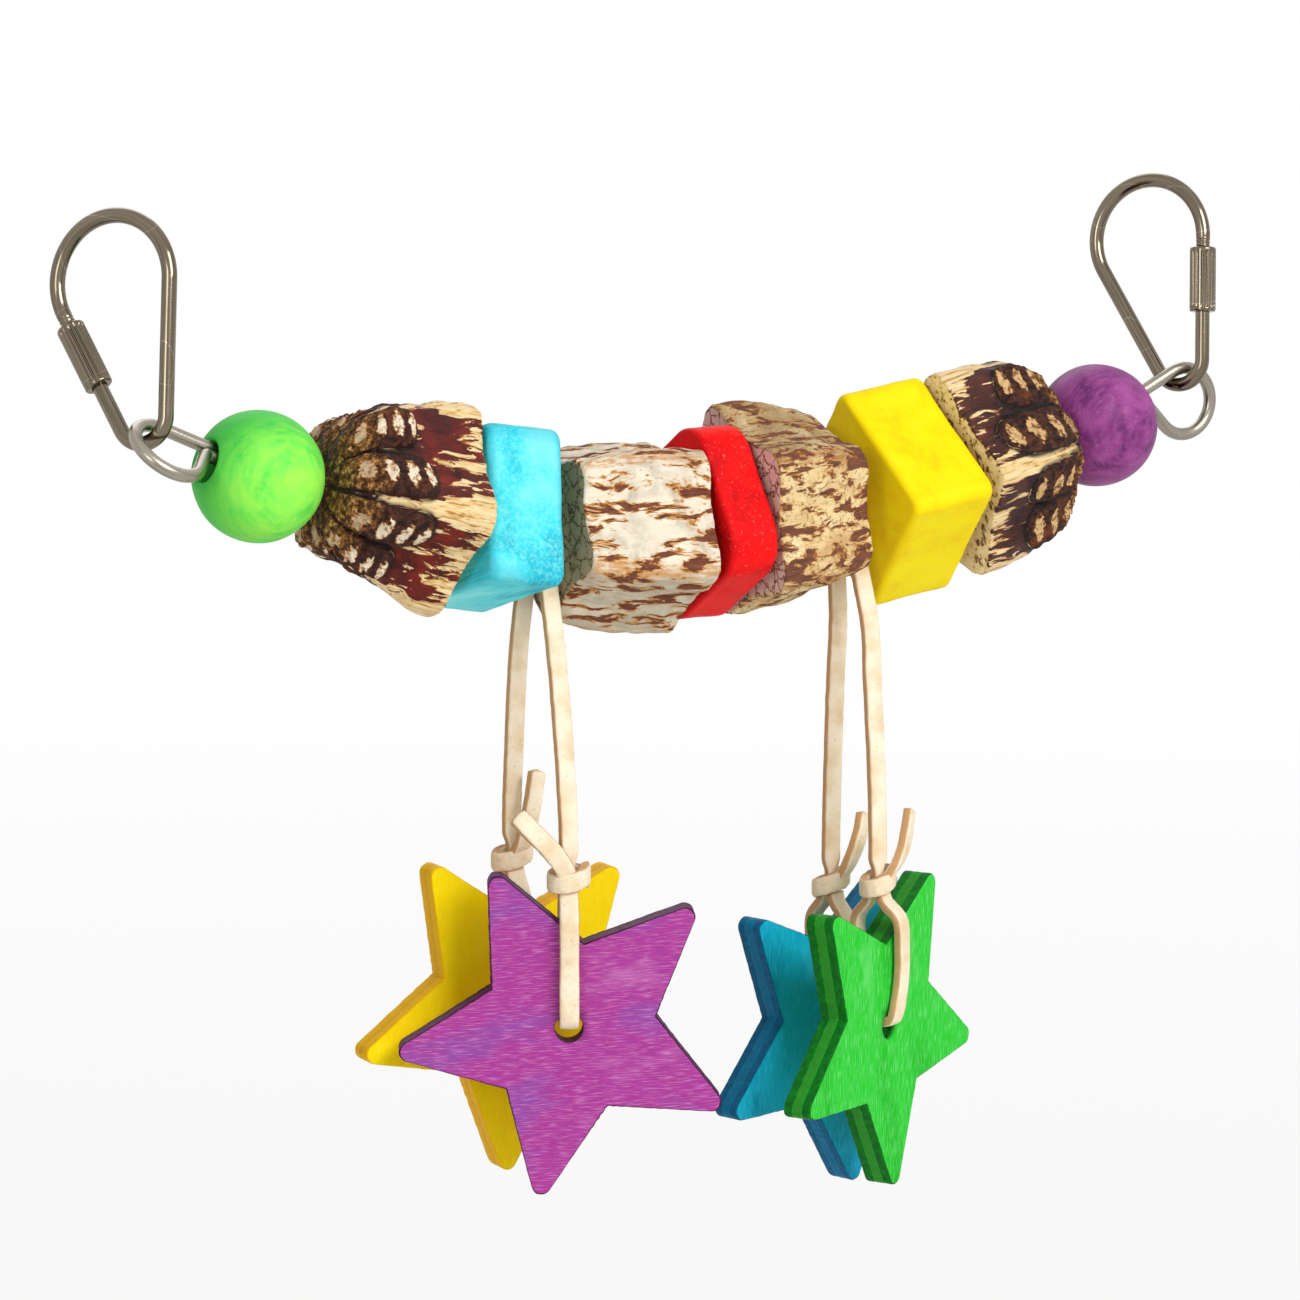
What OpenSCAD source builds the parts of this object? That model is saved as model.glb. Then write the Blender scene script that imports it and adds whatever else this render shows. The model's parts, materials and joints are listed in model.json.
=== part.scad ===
// Hanging bird swing: a bent steel wire strung with dyed wooden beads and blocks and with
// woody seed-pod cores. Two leather laces over the wire carry four plywood stars, and a
// screw quick link in each of the wire's eyes hooks the swing over a bar.
// Millimetres. +X runs along the swing, -Y is its front, +Z is up, and the origin is the
// inside of the left link's crown, where it sits on the bar.

/* [Quick links] */
// Diameter of the link's wire
link_wire_d = 2.3; // [1.8:0.1:2.6]
// Radius of the wide crown, to the middle of its wire
crown_r = 9.5; // [8:0.1:12]
// Radius of the narrow bow, to the middle of its wire
bow_r = 4; // [3.8:0.1:5]
// Distance between the centres of crown and bow
link_reach = 20.5; // [19.5:0.1:28]
// Lean of the links, foot to the front, in degrees
link_lean = 22; // [0:1:30]
// Turn of the left link about its own length, in degrees
left_link_turn = 58; // [54:1:70]
// Turn of the right link about its own length, in degrees
right_link_turn = 62; // [54:1:70]
// Slant of the links, crown to the left, in degrees
link_slant = 1.5; // [0:0.5:4]
// How far the right link stands to the left of the top of its eye
right_link_offset = 0.4; // [0:0.1:0.6]
// Outside diameter of the sleeve nut
sleeve_d = 4.2; // [3.8:0.1:5]
// Length of the sleeve nut
sleeve_len = 10.4; // [8:0.1:11]
// Flutes round the sleeve nut
sleeve_flutes = 16; // [10:1:20]
// Depth of a flute
flute_depth = 0.25; // [0.1:0.05:0.4]
// Distance from the crown's end to the closed sleeve nut
sleeve_set = 1.8; // [0.5:0.1:2]
// Opening in the leg that the sleeve nut closes
link_gap = 3.5; // [2.5:0.1:4.5]
// Running clearance of the sleeve nut on its leg, on the radius
sleeve_play = 0.08; // [0.03:0.01:0.1]

/* [Wire] */
// Diameter of the swing's wire
wire_d = 2; // [1.6:0.1:2.2]
// Slope of the wire at each end, in degrees
end_slope = 20; // [14:0.5:24]
// Radius of an eye, to the middle of its wire
eye_r = 5.35; // [5.2:0.05:6.5]
// Distance from an eye's neck to its centre
eye_neck = 7.1; // [6.8:0.1:9]
// Roll of the left eye about the wire, in degrees
left_eye_roll = 55; // [45:1:62]
// Length of the wire's cut end inside a bead
wire_end_len = 4; // [2:0.5:6]
// Gap between an eye and the bow that it hangs on
seat_gap = 0.45; // [0.35:0.05:0.6]

/* [Strung pieces] */
// Diameter of a bead
bead_d = 19.5; // [16:0.5:24]
// Bore of a bead
bead_bore = 6.4; // [6.2:0.1:8]
// Side of the blue block
blue_side = 24; // [18:0.5:28]
// Length of the blue block
blue_len = 13; // [10:0.5:20]
// Side of the yellow block
yellow_side = 25; // [18:0.5:28]
// Length of the yellow block
yellow_len = 15; // [10:0.5:20]
// Rounding of the long edges of both blocks
block_round = 2; // [0.5:0.1:4]
// Side of the red block
red_side = 25; // [18:0.5:28]
// Rounding of its long edges
red_round = 6; // [1:0.5:8]
// Length of the red block
red_len = 8.5; // [7:0.5:16]
// Length of the left pod core, with the scarred end
left_pod_len = 21; // [14:0.5:26]
// Length of the pale pod core
pale_pod_len = 21.5; // [14:0.5:28]
// Length of the mottled pod core
mottled_pod_len = 17.5; // [12:0.5:24]
// Length of the right pod core, with the scarred end
right_pod_len = 20.5; // [14:0.5:26]
// Radius of the pod cores at their ridges
pod_ridge_r = 16; // [13:0.1:18]
// Radius of the pod cores between their ridges
pod_valley_r = 12.8; // [9:0.1:13]
// Bore of the blocks and of the pale pod core
piece_bore = 5; // [4.4:0.1:7]
// Bore of the other pod cores
pod_bore = 3.6; // [3.4:0.1:6]
// Clearance between strung pieces at their nearest
piece_play = 0.3; // [0.2:0.05:1]

/* [Laces] */
// Width of the flat lace
lace_w = 3; // [2:0.1:4]
// Thickness of the lace
lace_t = 1.6; // [1:0.1:2]
// Clearance round a lace
lace_play = 0.6; // [0.5:0.05:1]
// Diameter of a knot
knot_d = 6.4; // [5:0.1:8]
// Height of a knot
knot_h = 5; // [4:0.1:6]
// Distance from a star's hole up to its knot
loop_drop = 22.5; // [21:0.5:30]

/* [Stars] */
// Radius of a star's points before rounding
star_point_r = 27.9; // [22:0.1:29]
// Radius of a star's notches
star_notch_r = 13.2; // [10:0.1:14]
// Rounding of the points
star_round = 1.5; // [0.5:0.1:2.5]
// Thickness of the plywood
star_t = 4.8; // [3:0.1:6]
// Room beside the lace in a star's hole, both sides together
star_hole_play = 2; // [1.6:0.1:4]

/* [Hidden] */

LEFT = -1;
RIGHT = 1;
STEEL = [0.78, 0.76, 0.71];
LACE_TAN = [0.88, 0.76, 0.62];

// The link's legs run between these tangent points, in the plane of the link.
leg_angle = asin((crown_r - bow_r) / link_reach);
leg_len = sqrt(pow(link_reach, 2) - pow(crown_r - bow_r, 2));
crown_inner_r = crown_r - link_wire_d / 2;
gap_at = sleeve_set + 1.2;

// The eyes turn about a line along X through the middle of their wire, above the bows.
hang_len = crown_inner_r + link_reach + bow_r - link_wire_d / 2;
seat_x = hang_len * sin(link_slant);
seat_drop = hang_len * cos(link_slant) - wire_d / 2 - seat_gap;
swing_y = -seat_drop * sin(link_lean);
swing_z = -seat_drop * cos(link_lean);

// An eye touches its bow at its highest point, which this angle gives in the eye's plane.
left_top = atan2(cos(left_eye_roll) * cos(end_slope), sin(end_slope));
left_rise = sqrt(pow(sin(end_slope), 2) + pow(cos(left_eye_roll) * cos(end_slope), 2));
left_eye_off = eye_r * sin(left_top);
neck_drop = eye_r * left_rise - left_eye_off * cos(left_eye_roll) * cos(end_slope);
right_eye_off = (eye_r - neck_drop) / cos(end_slope);
neck_z = swing_z - neck_drop - eye_neck * sin(end_slope);
left_neck_x = seat_x + eye_r * (cos(left_top) * cos(end_slope)
    - sin(left_top) * cos(left_eye_roll) * sin(end_slope))
    + eye_neck * cos(end_slope) + left_eye_off * cos(left_eye_roll) * sin(end_slope);
wire_pitch = wire_d + 0.1;

// The strung pieces, from the left, as lengths along the wire.
lace_slot = lace_w + 2 * lace_play;
piece_lens = [
    bead_d, left_pod_len, blue_len, lace_slot, pale_pod_len, red_len,
    mottled_pod_len, lace_slot, yellow_len, right_pod_len, bead_d
];
GREEN_BEAD = 0;
LEFT_POD = 1;
BLUE_BLOCK = 2;
LEFT_LACE = 3;
PALE_POD = 4;
RED_BLOCK = 5;
MOTTLED_POD = 6;
RIGHT_LACE = 7;
YELLOW_BLOCK = 8;
RIGHT_POD = 9;
PURPLE_BEAD = 10;
LAST = len(piece_lens) - 1;

function total(list, count) = count <= 0 ? 0 : list[count - 1] + total(list, count - 1);
function corner_r(side, r) = (side / 2 - r) * sqrt(2) + r;

// Flat ends tip towards each other over the bend, so big neighbours stand further apart.
stack_r = max(
    pod_ridge_r * 1.1, corner_r(blue_side, block_round), corner_r(yellow_side, block_round),
    corner_r(red_side, red_round)
);
bend_share = 2 * end_slope * PI / 180 / total(piece_lens, LAST + 1);
function is_lean(i) = i == GREEN_BEAD || i == LEFT_LACE || i == RIGHT_LACE || i == PURPLE_BEAD;
function gap_after(i) = is_lean(i) || is_lean(i + 1) ? piece_play
    : piece_play + stack_r * bend_share * (piece_lens[i] + piece_lens[i + 1]) / 2;
gaps = [for (i = [0:LAST - 1]) gap_after(i)];
end_margin = 0.4;
wire_len = 2 * end_margin + total(piece_lens, LAST + 1) + total(gaps, LAST);
wire_r = wire_len / (2 * end_slope) * 180 / PI;
arc_x = left_neck_x + wire_r * sin(end_slope);
arc_z = neck_z + wire_r * cos(end_slope);
right_neck_x = arc_x + wire_r * sin(end_slope);
link_span = right_neck_x + eye_neck * cos(end_slope) + right_eye_off * sin(end_slope)
    - seat_x - right_link_offset;

// Place along the wire of a piece's middle, and the wire's slope there.
function place(i) = end_margin + total(piece_lens, i) + total(gaps, i) + piece_lens[i] / 2;
function slope(i) = place(i) / wire_r * 180 / PI - end_slope;
// How far a bored piece hangs below the wire's middle.
rest_gap = 0.2;
function hang(i, bore) = (bore - wire_d) / 2 - pow(piece_lens[i], 2) / (8 * wire_r) - rest_gap;
function wire_point(i) =
    [arc_x + wire_r * sin(slope(i)), swing_y, arc_z - wire_r * cos(slope(i))];

// Each strand's route: how far it stands from the wire's plane, and how far it has dropped.
PURPLE_ROUTE = [[-2.2, 0], [-2.4, 4], [-3.2, 9], [-4.6, 14], [-6, 19], [-7.4, 27], [-8.8, 37], [-9.8, 48], [-9.8, 51]];
YELLOW_ROUTE = [[2.2, 0], [2.4, 4], [2.8, 9], [3.6, 14], [4.4, 19], [5.4, 27], [6.2, 37], [6.8, 47], [6.8, 50]];
GREEN_ROUTE = [[-2.2, 0], [-2.4, 4], [-3, 9], [-4, 14], [-5, 19], [-6, 29], [-7.2, 42], [-7.8, 54], [-7.8, 57]];
BLUE_ROUTE = [[2.2, 0], [2.4, 4], [2.8, 9], [3.2, 14], [3.6, 19], [4.2, 29], [4.8, 42], [5.2, 56], [5.2, 59]];
// The cut ends of the laces, from the middle of the knot: across, forward and up.
PURPLE_TAIL = [[0, 1, 0], [-1, 2.4, 2.4], [-3, 2.8, 5], [-6, 2.6, 8], [-8, 2.2, 10]];
YELLOW_TAIL = [[0, 1, 0], [0.8, 2.6, 2.6], [1.6, 3, 6], [2.4, 3, 10], [3, 2.8, 13.5]];
GREEN_TAIL = [[0, 1, 0], [1, 2.4, 2.4], [3, 2.8, 5], [4.6, 2.6, 8], [6, 2.2, 11]];
BLUE_TAIL = [[0, 1, 0], [1, 2.4, 2.4], [2.4, 2.8, 5], [4, 2.6, 8], [5, 2.2, 11]];
// Turn of each star about the vertical, and in its own plane away from a notch on top.
PURPLE_TURN = [-29, -10];
YELLOW_TURN = [-7, -4];
GREEN_TURN = [25, 5];
BLUE_TURN = [12, 8];

strand_play = 0.3;
saddle_half = 40;
// A star's hole, and its height at the edges of the lace that hangs in it.
star_hole_d = lace_w + star_hole_play;
hole_edge = sqrt(pow(star_hole_d, 2) - pow(lace_w, 2)) / 2;
// Strands lean with their slot between the pieces to this depth, then hang straight.
slot_depth = stack_r + 1;
function strand_lean(i) = i == LEFT_LACE ? slope(PALE_POD) / 2 : slope(i);
function strand_x(i, drop) = tan(strand_lean(i)) * min(drop, slot_depth);
function strand_end(route) = route[len(route) - 1];
function knot_at(i, route) = wire_point(i) + [
    strand_x(i, strand_end(route)[1]), strand_end(route)[0],
    -strand_end(route)[1] - strand_play - knot_h / 2
];
function star_at(i, route) = knot_at(i, route) - [0, 0, loop_drop];

// Unit vector, and the direction of a route at one of its points.
function unit(v) = v / norm(v);
function heading(pts, i) = unit(pts[min(i + 1, len(pts) - 1)] - pts[max(i - 1, 0)]);

// Rods stop a little short of a joint, and a ball a little thicker than they are joins them.
rod_short = 0.05;
ball_over = 0.06;

// Round rod between two points of the XY plane.
module rod(from, to, d) {
    run = to - from;
    translate([from[0], from[1], 0]) rotate([0, 0, atan2(run[1], run[0])])
        translate([rod_short, 0, 0]) rotate([0, 90, 0])
            cylinder(d = d, h = norm(run) - 2 * rod_short, $fn = 48);
}

// Round rod bent to an arc in the XY plane, about the origin.
module rod_arc(r, d, from, to) {
    short = rod_short / r * 180 / PI;
    rotate([0, 0, from + short]) rotate_extrude(angle = to - from - 2 * short, $fn = 180)
        translate([r, 0]) circle(d = d, $fn = 48);
}

// Ball that joins rods at a point of the XY plane, its poles along the way that they run. It is
// turned about them, so that its seam doesn't lie on a rod's seam.
module ball(at, d, way) {
    translate([at[0], at[1], 0]) rotate([0, 0, way]) rotate([0, 90, 0]) rotate([0, 0, 30])
        sphere(d = d + ball_over, $fn = 48);
}

// Stand a shape of the XY plane up in the XZ plane.
module upright() {
    rotate([90, 0, 0]) children();
}

// A link's own plane, hung on the bar.
module hung(x, turn) {
    translate([x, 0, 0]) rotate([-link_lean, 0, 0]) rotate([0, -link_slant, 0]) rotate([0, 0, -turn])
        translate([0, 0, -crown_inner_r]) upright() children();
}

function leg_top(side) = crown_r * [side * cos(leg_angle), -sin(leg_angle)];
function leg_foot(side) = [0, -link_reach] + bow_r * [side * cos(leg_angle), -sin(leg_angle)];
function on_leg(side, at) = leg_top(side) + (leg_foot(side) - leg_top(side)) * at / leg_len;

// Pear-shaped open link, with its opening in one leg.
module quick_link(x, turn, open_side) {
    color(STEEL) hung(x, turn) {
        rod_arc(crown_r, link_wire_d, -leg_angle, 180 + leg_angle);
        translate([0, -link_reach, 0])
            rod_arc(bow_r, link_wire_d, 180 + leg_angle, 360 - leg_angle);
        rod(leg_top(-open_side), leg_foot(-open_side), link_wire_d);
        rod(leg_top(open_side), on_leg(open_side, gap_at), link_wire_d);
        rod(on_leg(open_side, gap_at + link_gap), leg_foot(open_side), link_wire_d);
        for (side = [LEFT, RIGHT]) {
            run = leg_foot(side) - leg_top(side);
            way = atan2(run[1], run[0]);
            ball(leg_top(side), link_wire_d, way);
            ball(leg_foot(side), link_wire_d, way);
        }
    }
}

// Fluted sleeve nut round the opening of a link.
module sleeve_nut(x, turn, open_side) {
    at = on_leg(open_side, sleeve_set);
    run = leg_foot(open_side) - leg_top(open_side);
    color(STEEL * 0.92) hung(x, turn) translate([at[0], at[1], 0])
        rotate([0, 0, atan2(run[1], run[0])]) rotate([0, 90, 0]) difference() {
            cylinder(d = sleeve_d, h = sleeve_len, $fn = 64);
            translate([0, 0, -1])
                cylinder(d = link_wire_d + 2 * sleeve_play, h = sleeve_len + 2, $fn = 48);
            for (k = [0:sleeve_flutes - 1]) rotate([0, 0, k * 360 / sleeve_flutes])
                translate([sleeve_d / 2, 0, 0.6])
                    cylinder(r = flute_depth, h = sleeve_len - 1.2, $fn = 16);
        }
}

// One eye in the XY plane, from its neck at the origin: out, round, and back beside the wire.
module eye(off) {
    centre = [eye_neck, -off];
    back = [0, -wire_pitch];
    reach = norm(centre);
    back_reach = norm(centre - back);
    out_a = atan2(centre[1], centre[0]) + asin(eye_r / reach);
    back_a = atan2(centre[1] - back[1], centre[0]) - asin(eye_r / back_reach);
    out_run = sqrt(reach * reach - eye_r * eye_r);
    back_run = sqrt(back_reach * back_reach - eye_r * eye_r);
    out_at = out_run * [cos(out_a), sin(out_a)];
    back_at = back + back_run * [cos(back_a), sin(back_a)];
    rod([0, 0], out_at, wire_d);
    translate([centre[0], centre[1], 0]) rod_arc(eye_r, wire_d, back_a - 90, out_a + 90);
    rod(back, back_at, wire_d);
    rod(back, back - [wire_end_len, 0], wire_d);
    ball([0, 0], wire_d, out_a / 2);
    ball(out_at, wire_d, out_a);
    ball(back_at, wire_d, back_a);
    ball(back, wire_d, back_a / 2);
}

module swing_wire() {
    color(STEEL * 0.96) {
        translate([arc_x, swing_y, arc_z]) upright()
            rod_arc(wire_r, wire_d, 270 - end_slope, 270 + end_slope);
        translate([left_neck_x, swing_y, neck_z]) mirror([1, 0, 0])
            rotate([0, -end_slope, 0]) rotate([-left_eye_roll, 0, 0]) upright() eye(left_eye_off);
        translate([right_neck_x, swing_y, neck_z]) rotate([0, -end_slope, 0])
            upright() eye(right_eye_off);
    }
}

// The wire's own frame at one piece: X along the wire, and lowered by the piece's hang.
module on_wire(i, lowered = 0) {
    translate([arc_x, swing_y, arc_z]) rotate([0, -slope(i), 0])
        translate([0, 0, -wire_r - lowered]) children();
}

// Straight bore along X.
module bore(d, length) {
    translate([-length / 2, 0, 0]) rotate([0, 90, 0]) cylinder(d = d, h = length, $fn = 64);
}

module bead(i, tint) {
    color(tint) on_wire(i, hang(i, bead_bore)) difference() {
        sphere(d = bead_d, $fn = 96);
        bore(bead_bore, bead_d + 2);
    }
}

function rounded_square(side, r) = [
    for (k = [0:3]) for (s = [0:6])
        let (a = k * 90 + s * 15, c = (side / 2 - r) * sqrt(2))
            [c * cos(k * 90 + 45) + r * cos(a), c * sin(k * 90 + 45) + r * sin(a)]
];

// Square block with its grain along X, rolled about the wire.
module block(i, side, r, roll, tint) {
    length = piece_lens[i];
    color(tint) on_wire(i, hang(i, piece_bore)) rotate([-roll, 0, 0]) difference() {
        translate([-length / 2, 0, 0]) rotate([0, 90, 0])
            linear_extrude(length) polygon(rounded_square(side, r));
        bore(piece_bore, length + 2);
    }
}

POD_RINGS = 10;
POD_SIDES = 40;
// Radius of a five-ridged pod core, at an angle from a ridge and a share of its length.
// The scarred end is domed, and its faces swell between the ridges.
function pod_dome(u, scarred) = scarred ? 0.45 + 0.55 * sqrt(1 - pow(max(0, 1 - u / 0.58), 2))
    : 0.94 + 0.06 * sin(180 * u);
function pod_swell(u, scarred) = scarred ? 0.7 * max(0, 1 - u / 0.6) : 0;
function pod_r(a, u, scarred, taper) = let (
    valley = pod_valley_r + (pod_ridge_r - pod_valley_r) * pod_swell(u, scarred),
    grow = taper[0] + (taper[1] - taper[0]) * u
) grow * pod_dome(u, scarred) * (valley + (pod_ridge_r - valley) * pow(abs(cos(2.5 * a)), 3));

// Five-ridged core with its scarred or wide end first; roll lifts the front ridge. The taper
// scales its two ends, and the core sits a little above or below its bore.
module pod_core(i, hole, roll, taper, above, scarred, flip, tint) {
    length = piece_lens[i];
    side = flip ? -1 : 1;
    pts = concat(
        [for (k = [0:POD_RINGS], j = [0:POD_SIDES - 1])
            let (
                a = j * 360 / POD_SIDES + roll,
                r = pod_r(a - roll, k / POD_RINGS, scarred, taper)
            ) [length * (k / POD_RINGS - 0.5), -side * r * cos(a), r * sin(a) + above]],
        [[-length / 2, 0, above], [length / 2, 0, above]]
    );
    left_hub = (POD_RINGS + 1) * POD_SIDES;
    function p(k, j) = k * POD_SIDES + j % POD_SIDES;
    outside = concat(
        [for (k = [0:POD_RINGS - 1], j = [0:POD_SIDES - 1]) [p(k, j), p(k + 1, j), p(k + 1, j + 1)]],
        [for (k = [0:POD_RINGS - 1], j = [0:POD_SIDES - 1]) [p(k, j), p(k + 1, j + 1), p(k, j + 1)]],
        [for (j = [0:POD_SIDES - 1]) [left_hub, p(0, j), p(0, j + 1)]],
        [for (j = [0:POD_SIDES - 1]) [left_hub + 1, p(POD_RINGS, j + 1), p(POD_RINGS, j)]]
    );
    // A core that is turned end for end is mirrored first, so its faces run the other way round.
    faces = flip ? [for (f = outside) [f[2], f[1], f[0]]] : outside;
    color(tint) on_wire(i, hang(i, hole)) rotate([0, 0, flip ? 180 : 0]) difference() {
        polyhedron(pts, faces);
        bore(hole, length + 2);
    }
}

// Flat lace with eased corners, swept along a route, its width along one direction.
LACE_SIDES = 8;
lace_ease = 0.3;
LACE_OUTLINE = [
    for (s = [[1, 1], [-1, 1], [-1, -1], [1, -1]], k = [0, 1])
        let (first = (s[0] * s[1] > 0) == (k == 0))
            [s[0] * (lace_w / 2 - (first ? 0 : lace_ease)), s[1] * (lace_t / 2 - (first ? lace_ease : 0))]
];
module lace(route, across) {
    n = len(route);
    pts = [for (i = [0:n - 1], q = LACE_OUTLINE)
        let (t = heading(route, i), w = unit(across - (across * t) * t))
            route[i] + q[0] * w + q[1] * cross(t, w)];
    function p(i, j) = i * LACE_SIDES + j % LACE_SIDES;
    faces = concat(
        [for (i = [0:n - 2], j = [0:LACE_SIDES - 1]) [p(i, j), p(i + 1, j), p(i + 1, j + 1)]],
        [for (i = [0:n - 2], j = [0:LACE_SIDES - 1]) [p(i, j), p(i + 1, j + 1), p(i, j + 1)]],
        [for (j = [1:LACE_SIDES - 2]) [p(0, 0), p(0, j), p(0, j + 1)]],
        [for (j = [1:LACE_SIDES - 2]) [p(n - 1, 0), p(n - 1, j + 1), p(n - 1, j)]]
    );
    polyhedron(pts, faces);
}

// The part of a lace that lies over the wire.
module lace_saddle(i) {
    inner = wire_d / 2 + lace_play / 2;
    color(LACE_TAN) on_wire(i) rotate([0, 90, 0]) rotate([0, 0, 180 - saddle_half])
        rotate_extrude(angle = 2 * saddle_half, $fn = 64)
            translate([inner, -lace_w / 2]) square([lace_t, lace_w]);
}

module lace_strand(i, route) {
    color(LACE_TAN) lace(
        [for (q = route) wire_point(i) + [strand_x(i, q[1]), q[0], -q[1]]], [1, 0, 0]
    );
}

// Knot with its cut end, and the loop that goes down one face of a star and up the other.
module lace_loop(i, route, turn, tail) {
    bend = lace_t / 2 + strand_play;
    clear = star_t / 2 + bend;
    knot_foot = loop_drop - knot_h / 2;
    hole_lift = hole_edge - bend - rest_gap;
    half_loop = [
        [0, -0.8, knot_foot + 1.5], [0, -1.2, knot_foot], [0, -clear, knot_foot - 3],
        [0, -clear, knot_foot - 8], [0, -clear, hole_edge + 2.5], [0, -clear, hole_edge],
        [0, -star_t / 2 - bend * sin(45), hole_edge - bend * sin(45)],
        [0, -star_t / 2, hole_lift + 0.1], [0, -0.8, hole_lift]
    ];
    back_loop = [for (k = [len(half_loop) - 1:-1:0])
        [0, -half_loop[k][1], half_loop[k][2]]];
    color(LACE_TAN) translate(star_at(i, route)) rotate([0, 0, turn[0]]) {
        lace(concat(half_loop, back_loop), [1, 0, 0]);
        translate([0, 0, loop_drop]) {
            rotate_extrude($fn = 48) polygon([
                [0, -knot_h / 2], [knot_d * 0.3, -knot_h / 2], [knot_d / 2, -knot_h * 0.22],
                [knot_d / 2, knot_h * 0.22], [knot_d * 0.3, knot_h / 2], [0, knot_h / 2]
            ]);
            lace([for (q = tail) [q[0], -q[1], q[2]]], [1, 0, 0.4]);
        }
    }
}

// Five-pointed outline with rounded points.
function star_outline(turn) = [
    for (k = [0:4])
        let (
            a = 90 + 36 + turn - 72 * k,
            edge = [star_point_r, 0] - star_notch_r * [cos(36), sin(36)],
            half = atan2(-edge[1], edge[0]),
            mid = star_point_r - star_round / sin(half)
        ) each concat(
            [for (s = [-2:2]) let (b = -s * (90 - half) / 2)
                [mid * cos(a) + star_round * cos(a + b), mid * sin(a) + star_round * sin(a + b)]],
            [star_notch_r * [cos(a - 36), sin(a - 36)]]
        )
];

module star(i, route, turn, tint) {
    color(tint) translate(star_at(i, route)) rotate([0, 0, turn[0]]) upright() difference() {
        linear_extrude(star_t, center = true) polygon(star_outline(turn[1]));
        cylinder(d = star_hole_d, h = star_t + 2, center = true, $fn = 64);
    }
}

module left_quick_link() quick_link(0, left_link_turn, LEFT);
module left_sleeve_nut() sleeve_nut(0, left_link_turn, LEFT);
module right_quick_link() quick_link(link_span, right_link_turn, RIGHT);
module right_sleeve_nut() sleeve_nut(link_span, right_link_turn, RIGHT);
module green_bead() bead(GREEN_BEAD, "limegreen");
module left_pod_core() pod_core(LEFT_POD, pod_bore, 0, [1, 1.04], -0.1, true, false, "sienna");
module blue_block() block(BLUE_BLOCK, blue_side, block_round, 17, "turquoise");
module pale_pod_core() pod_core(PALE_POD, piece_bore, -17, [0.88, 1.02], -1.2, false, false, "wheat");
module red_block() block(RED_BLOCK, red_side, red_round, 32, "red");
module mottled_pod_core() pod_core(MOTTLED_POD, pod_bore, 36, [1.08, 0.92], -0.1, false, false, "tan");
module yellow_block() block(YELLOW_BLOCK, yellow_side, block_round, 47, "gold");
module right_pod_core() pod_core(RIGHT_POD, pod_bore, 5, [1, 1.06], -0.1, true, true, "sienna");
module purple_bead() bead(PURPLE_BEAD, "purple");
module left_lace_saddle() lace_saddle(LEFT_LACE);
module right_lace_saddle() lace_saddle(RIGHT_LACE);
module purple_lace_strand() lace_strand(LEFT_LACE, PURPLE_ROUTE);
module yellow_lace_strand() lace_strand(LEFT_LACE, YELLOW_ROUTE);
module green_lace_strand() lace_strand(RIGHT_LACE, GREEN_ROUTE);
module blue_lace_strand() lace_strand(RIGHT_LACE, BLUE_ROUTE);
module purple_lace_loop() lace_loop(LEFT_LACE, PURPLE_ROUTE, PURPLE_TURN, PURPLE_TAIL);
module yellow_lace_loop() lace_loop(LEFT_LACE, YELLOW_ROUTE, YELLOW_TURN, YELLOW_TAIL);
module green_lace_loop() lace_loop(RIGHT_LACE, GREEN_ROUTE, GREEN_TURN, GREEN_TAIL);
module blue_lace_loop() lace_loop(RIGHT_LACE, BLUE_ROUTE, BLUE_TURN, BLUE_TAIL);
module purple_star() star(LEFT_LACE, PURPLE_ROUTE, PURPLE_TURN, "mediumorchid");
module yellow_star() star(LEFT_LACE, YELLOW_ROUTE, YELLOW_TURN, "yellow");
module green_star() star(RIGHT_LACE, GREEN_ROUTE, GREEN_TURN, "forestgreen");
module blue_star() star(RIGHT_LACE, BLUE_ROUTE, BLUE_TURN, "steelblue");

left_quick_link();
left_sleeve_nut();
right_quick_link();
right_sleeve_nut();
swing_wire();
green_bead();
left_pod_core();
blue_block();
pale_pod_core();
red_block();
mottled_pod_core();
yellow_block();
right_pod_core();
purple_bead();
left_lace_saddle();
right_lace_saddle();
purple_lace_strand();
yellow_lace_strand();
green_lace_strand();
blue_lace_strand();
purple_lace_loop();
yellow_lace_loop();
green_lace_loop();
blue_lace_loop();
purple_star();
yellow_star();
green_star();
blue_star();
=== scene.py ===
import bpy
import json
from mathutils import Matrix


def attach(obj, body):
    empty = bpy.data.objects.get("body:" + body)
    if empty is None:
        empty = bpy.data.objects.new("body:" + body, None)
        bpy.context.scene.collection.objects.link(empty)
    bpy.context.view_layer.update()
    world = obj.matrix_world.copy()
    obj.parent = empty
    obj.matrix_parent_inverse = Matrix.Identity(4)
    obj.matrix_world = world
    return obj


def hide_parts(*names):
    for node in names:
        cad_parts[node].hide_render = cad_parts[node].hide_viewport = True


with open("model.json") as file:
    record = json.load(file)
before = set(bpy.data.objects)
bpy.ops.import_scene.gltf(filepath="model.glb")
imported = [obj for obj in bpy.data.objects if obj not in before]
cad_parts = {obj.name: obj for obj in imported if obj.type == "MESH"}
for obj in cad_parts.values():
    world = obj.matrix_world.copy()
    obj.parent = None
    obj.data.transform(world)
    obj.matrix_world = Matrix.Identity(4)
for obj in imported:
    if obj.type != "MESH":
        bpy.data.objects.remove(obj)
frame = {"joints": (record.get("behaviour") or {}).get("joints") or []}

"""Looks of a hanging bird swing: two quick links, a bent wire strung with dyed wood and pod
cores, and four plywood stars on suede laces.

Sizes are in millimetres in the swing's own frame, and are turned to metres where a mesh is made.
"""

import json
import logging
from dataclasses import dataclass
from enum import Enum
from typing import Any

import bpy
import numpy as np
from mathutils import Matrix

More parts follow.
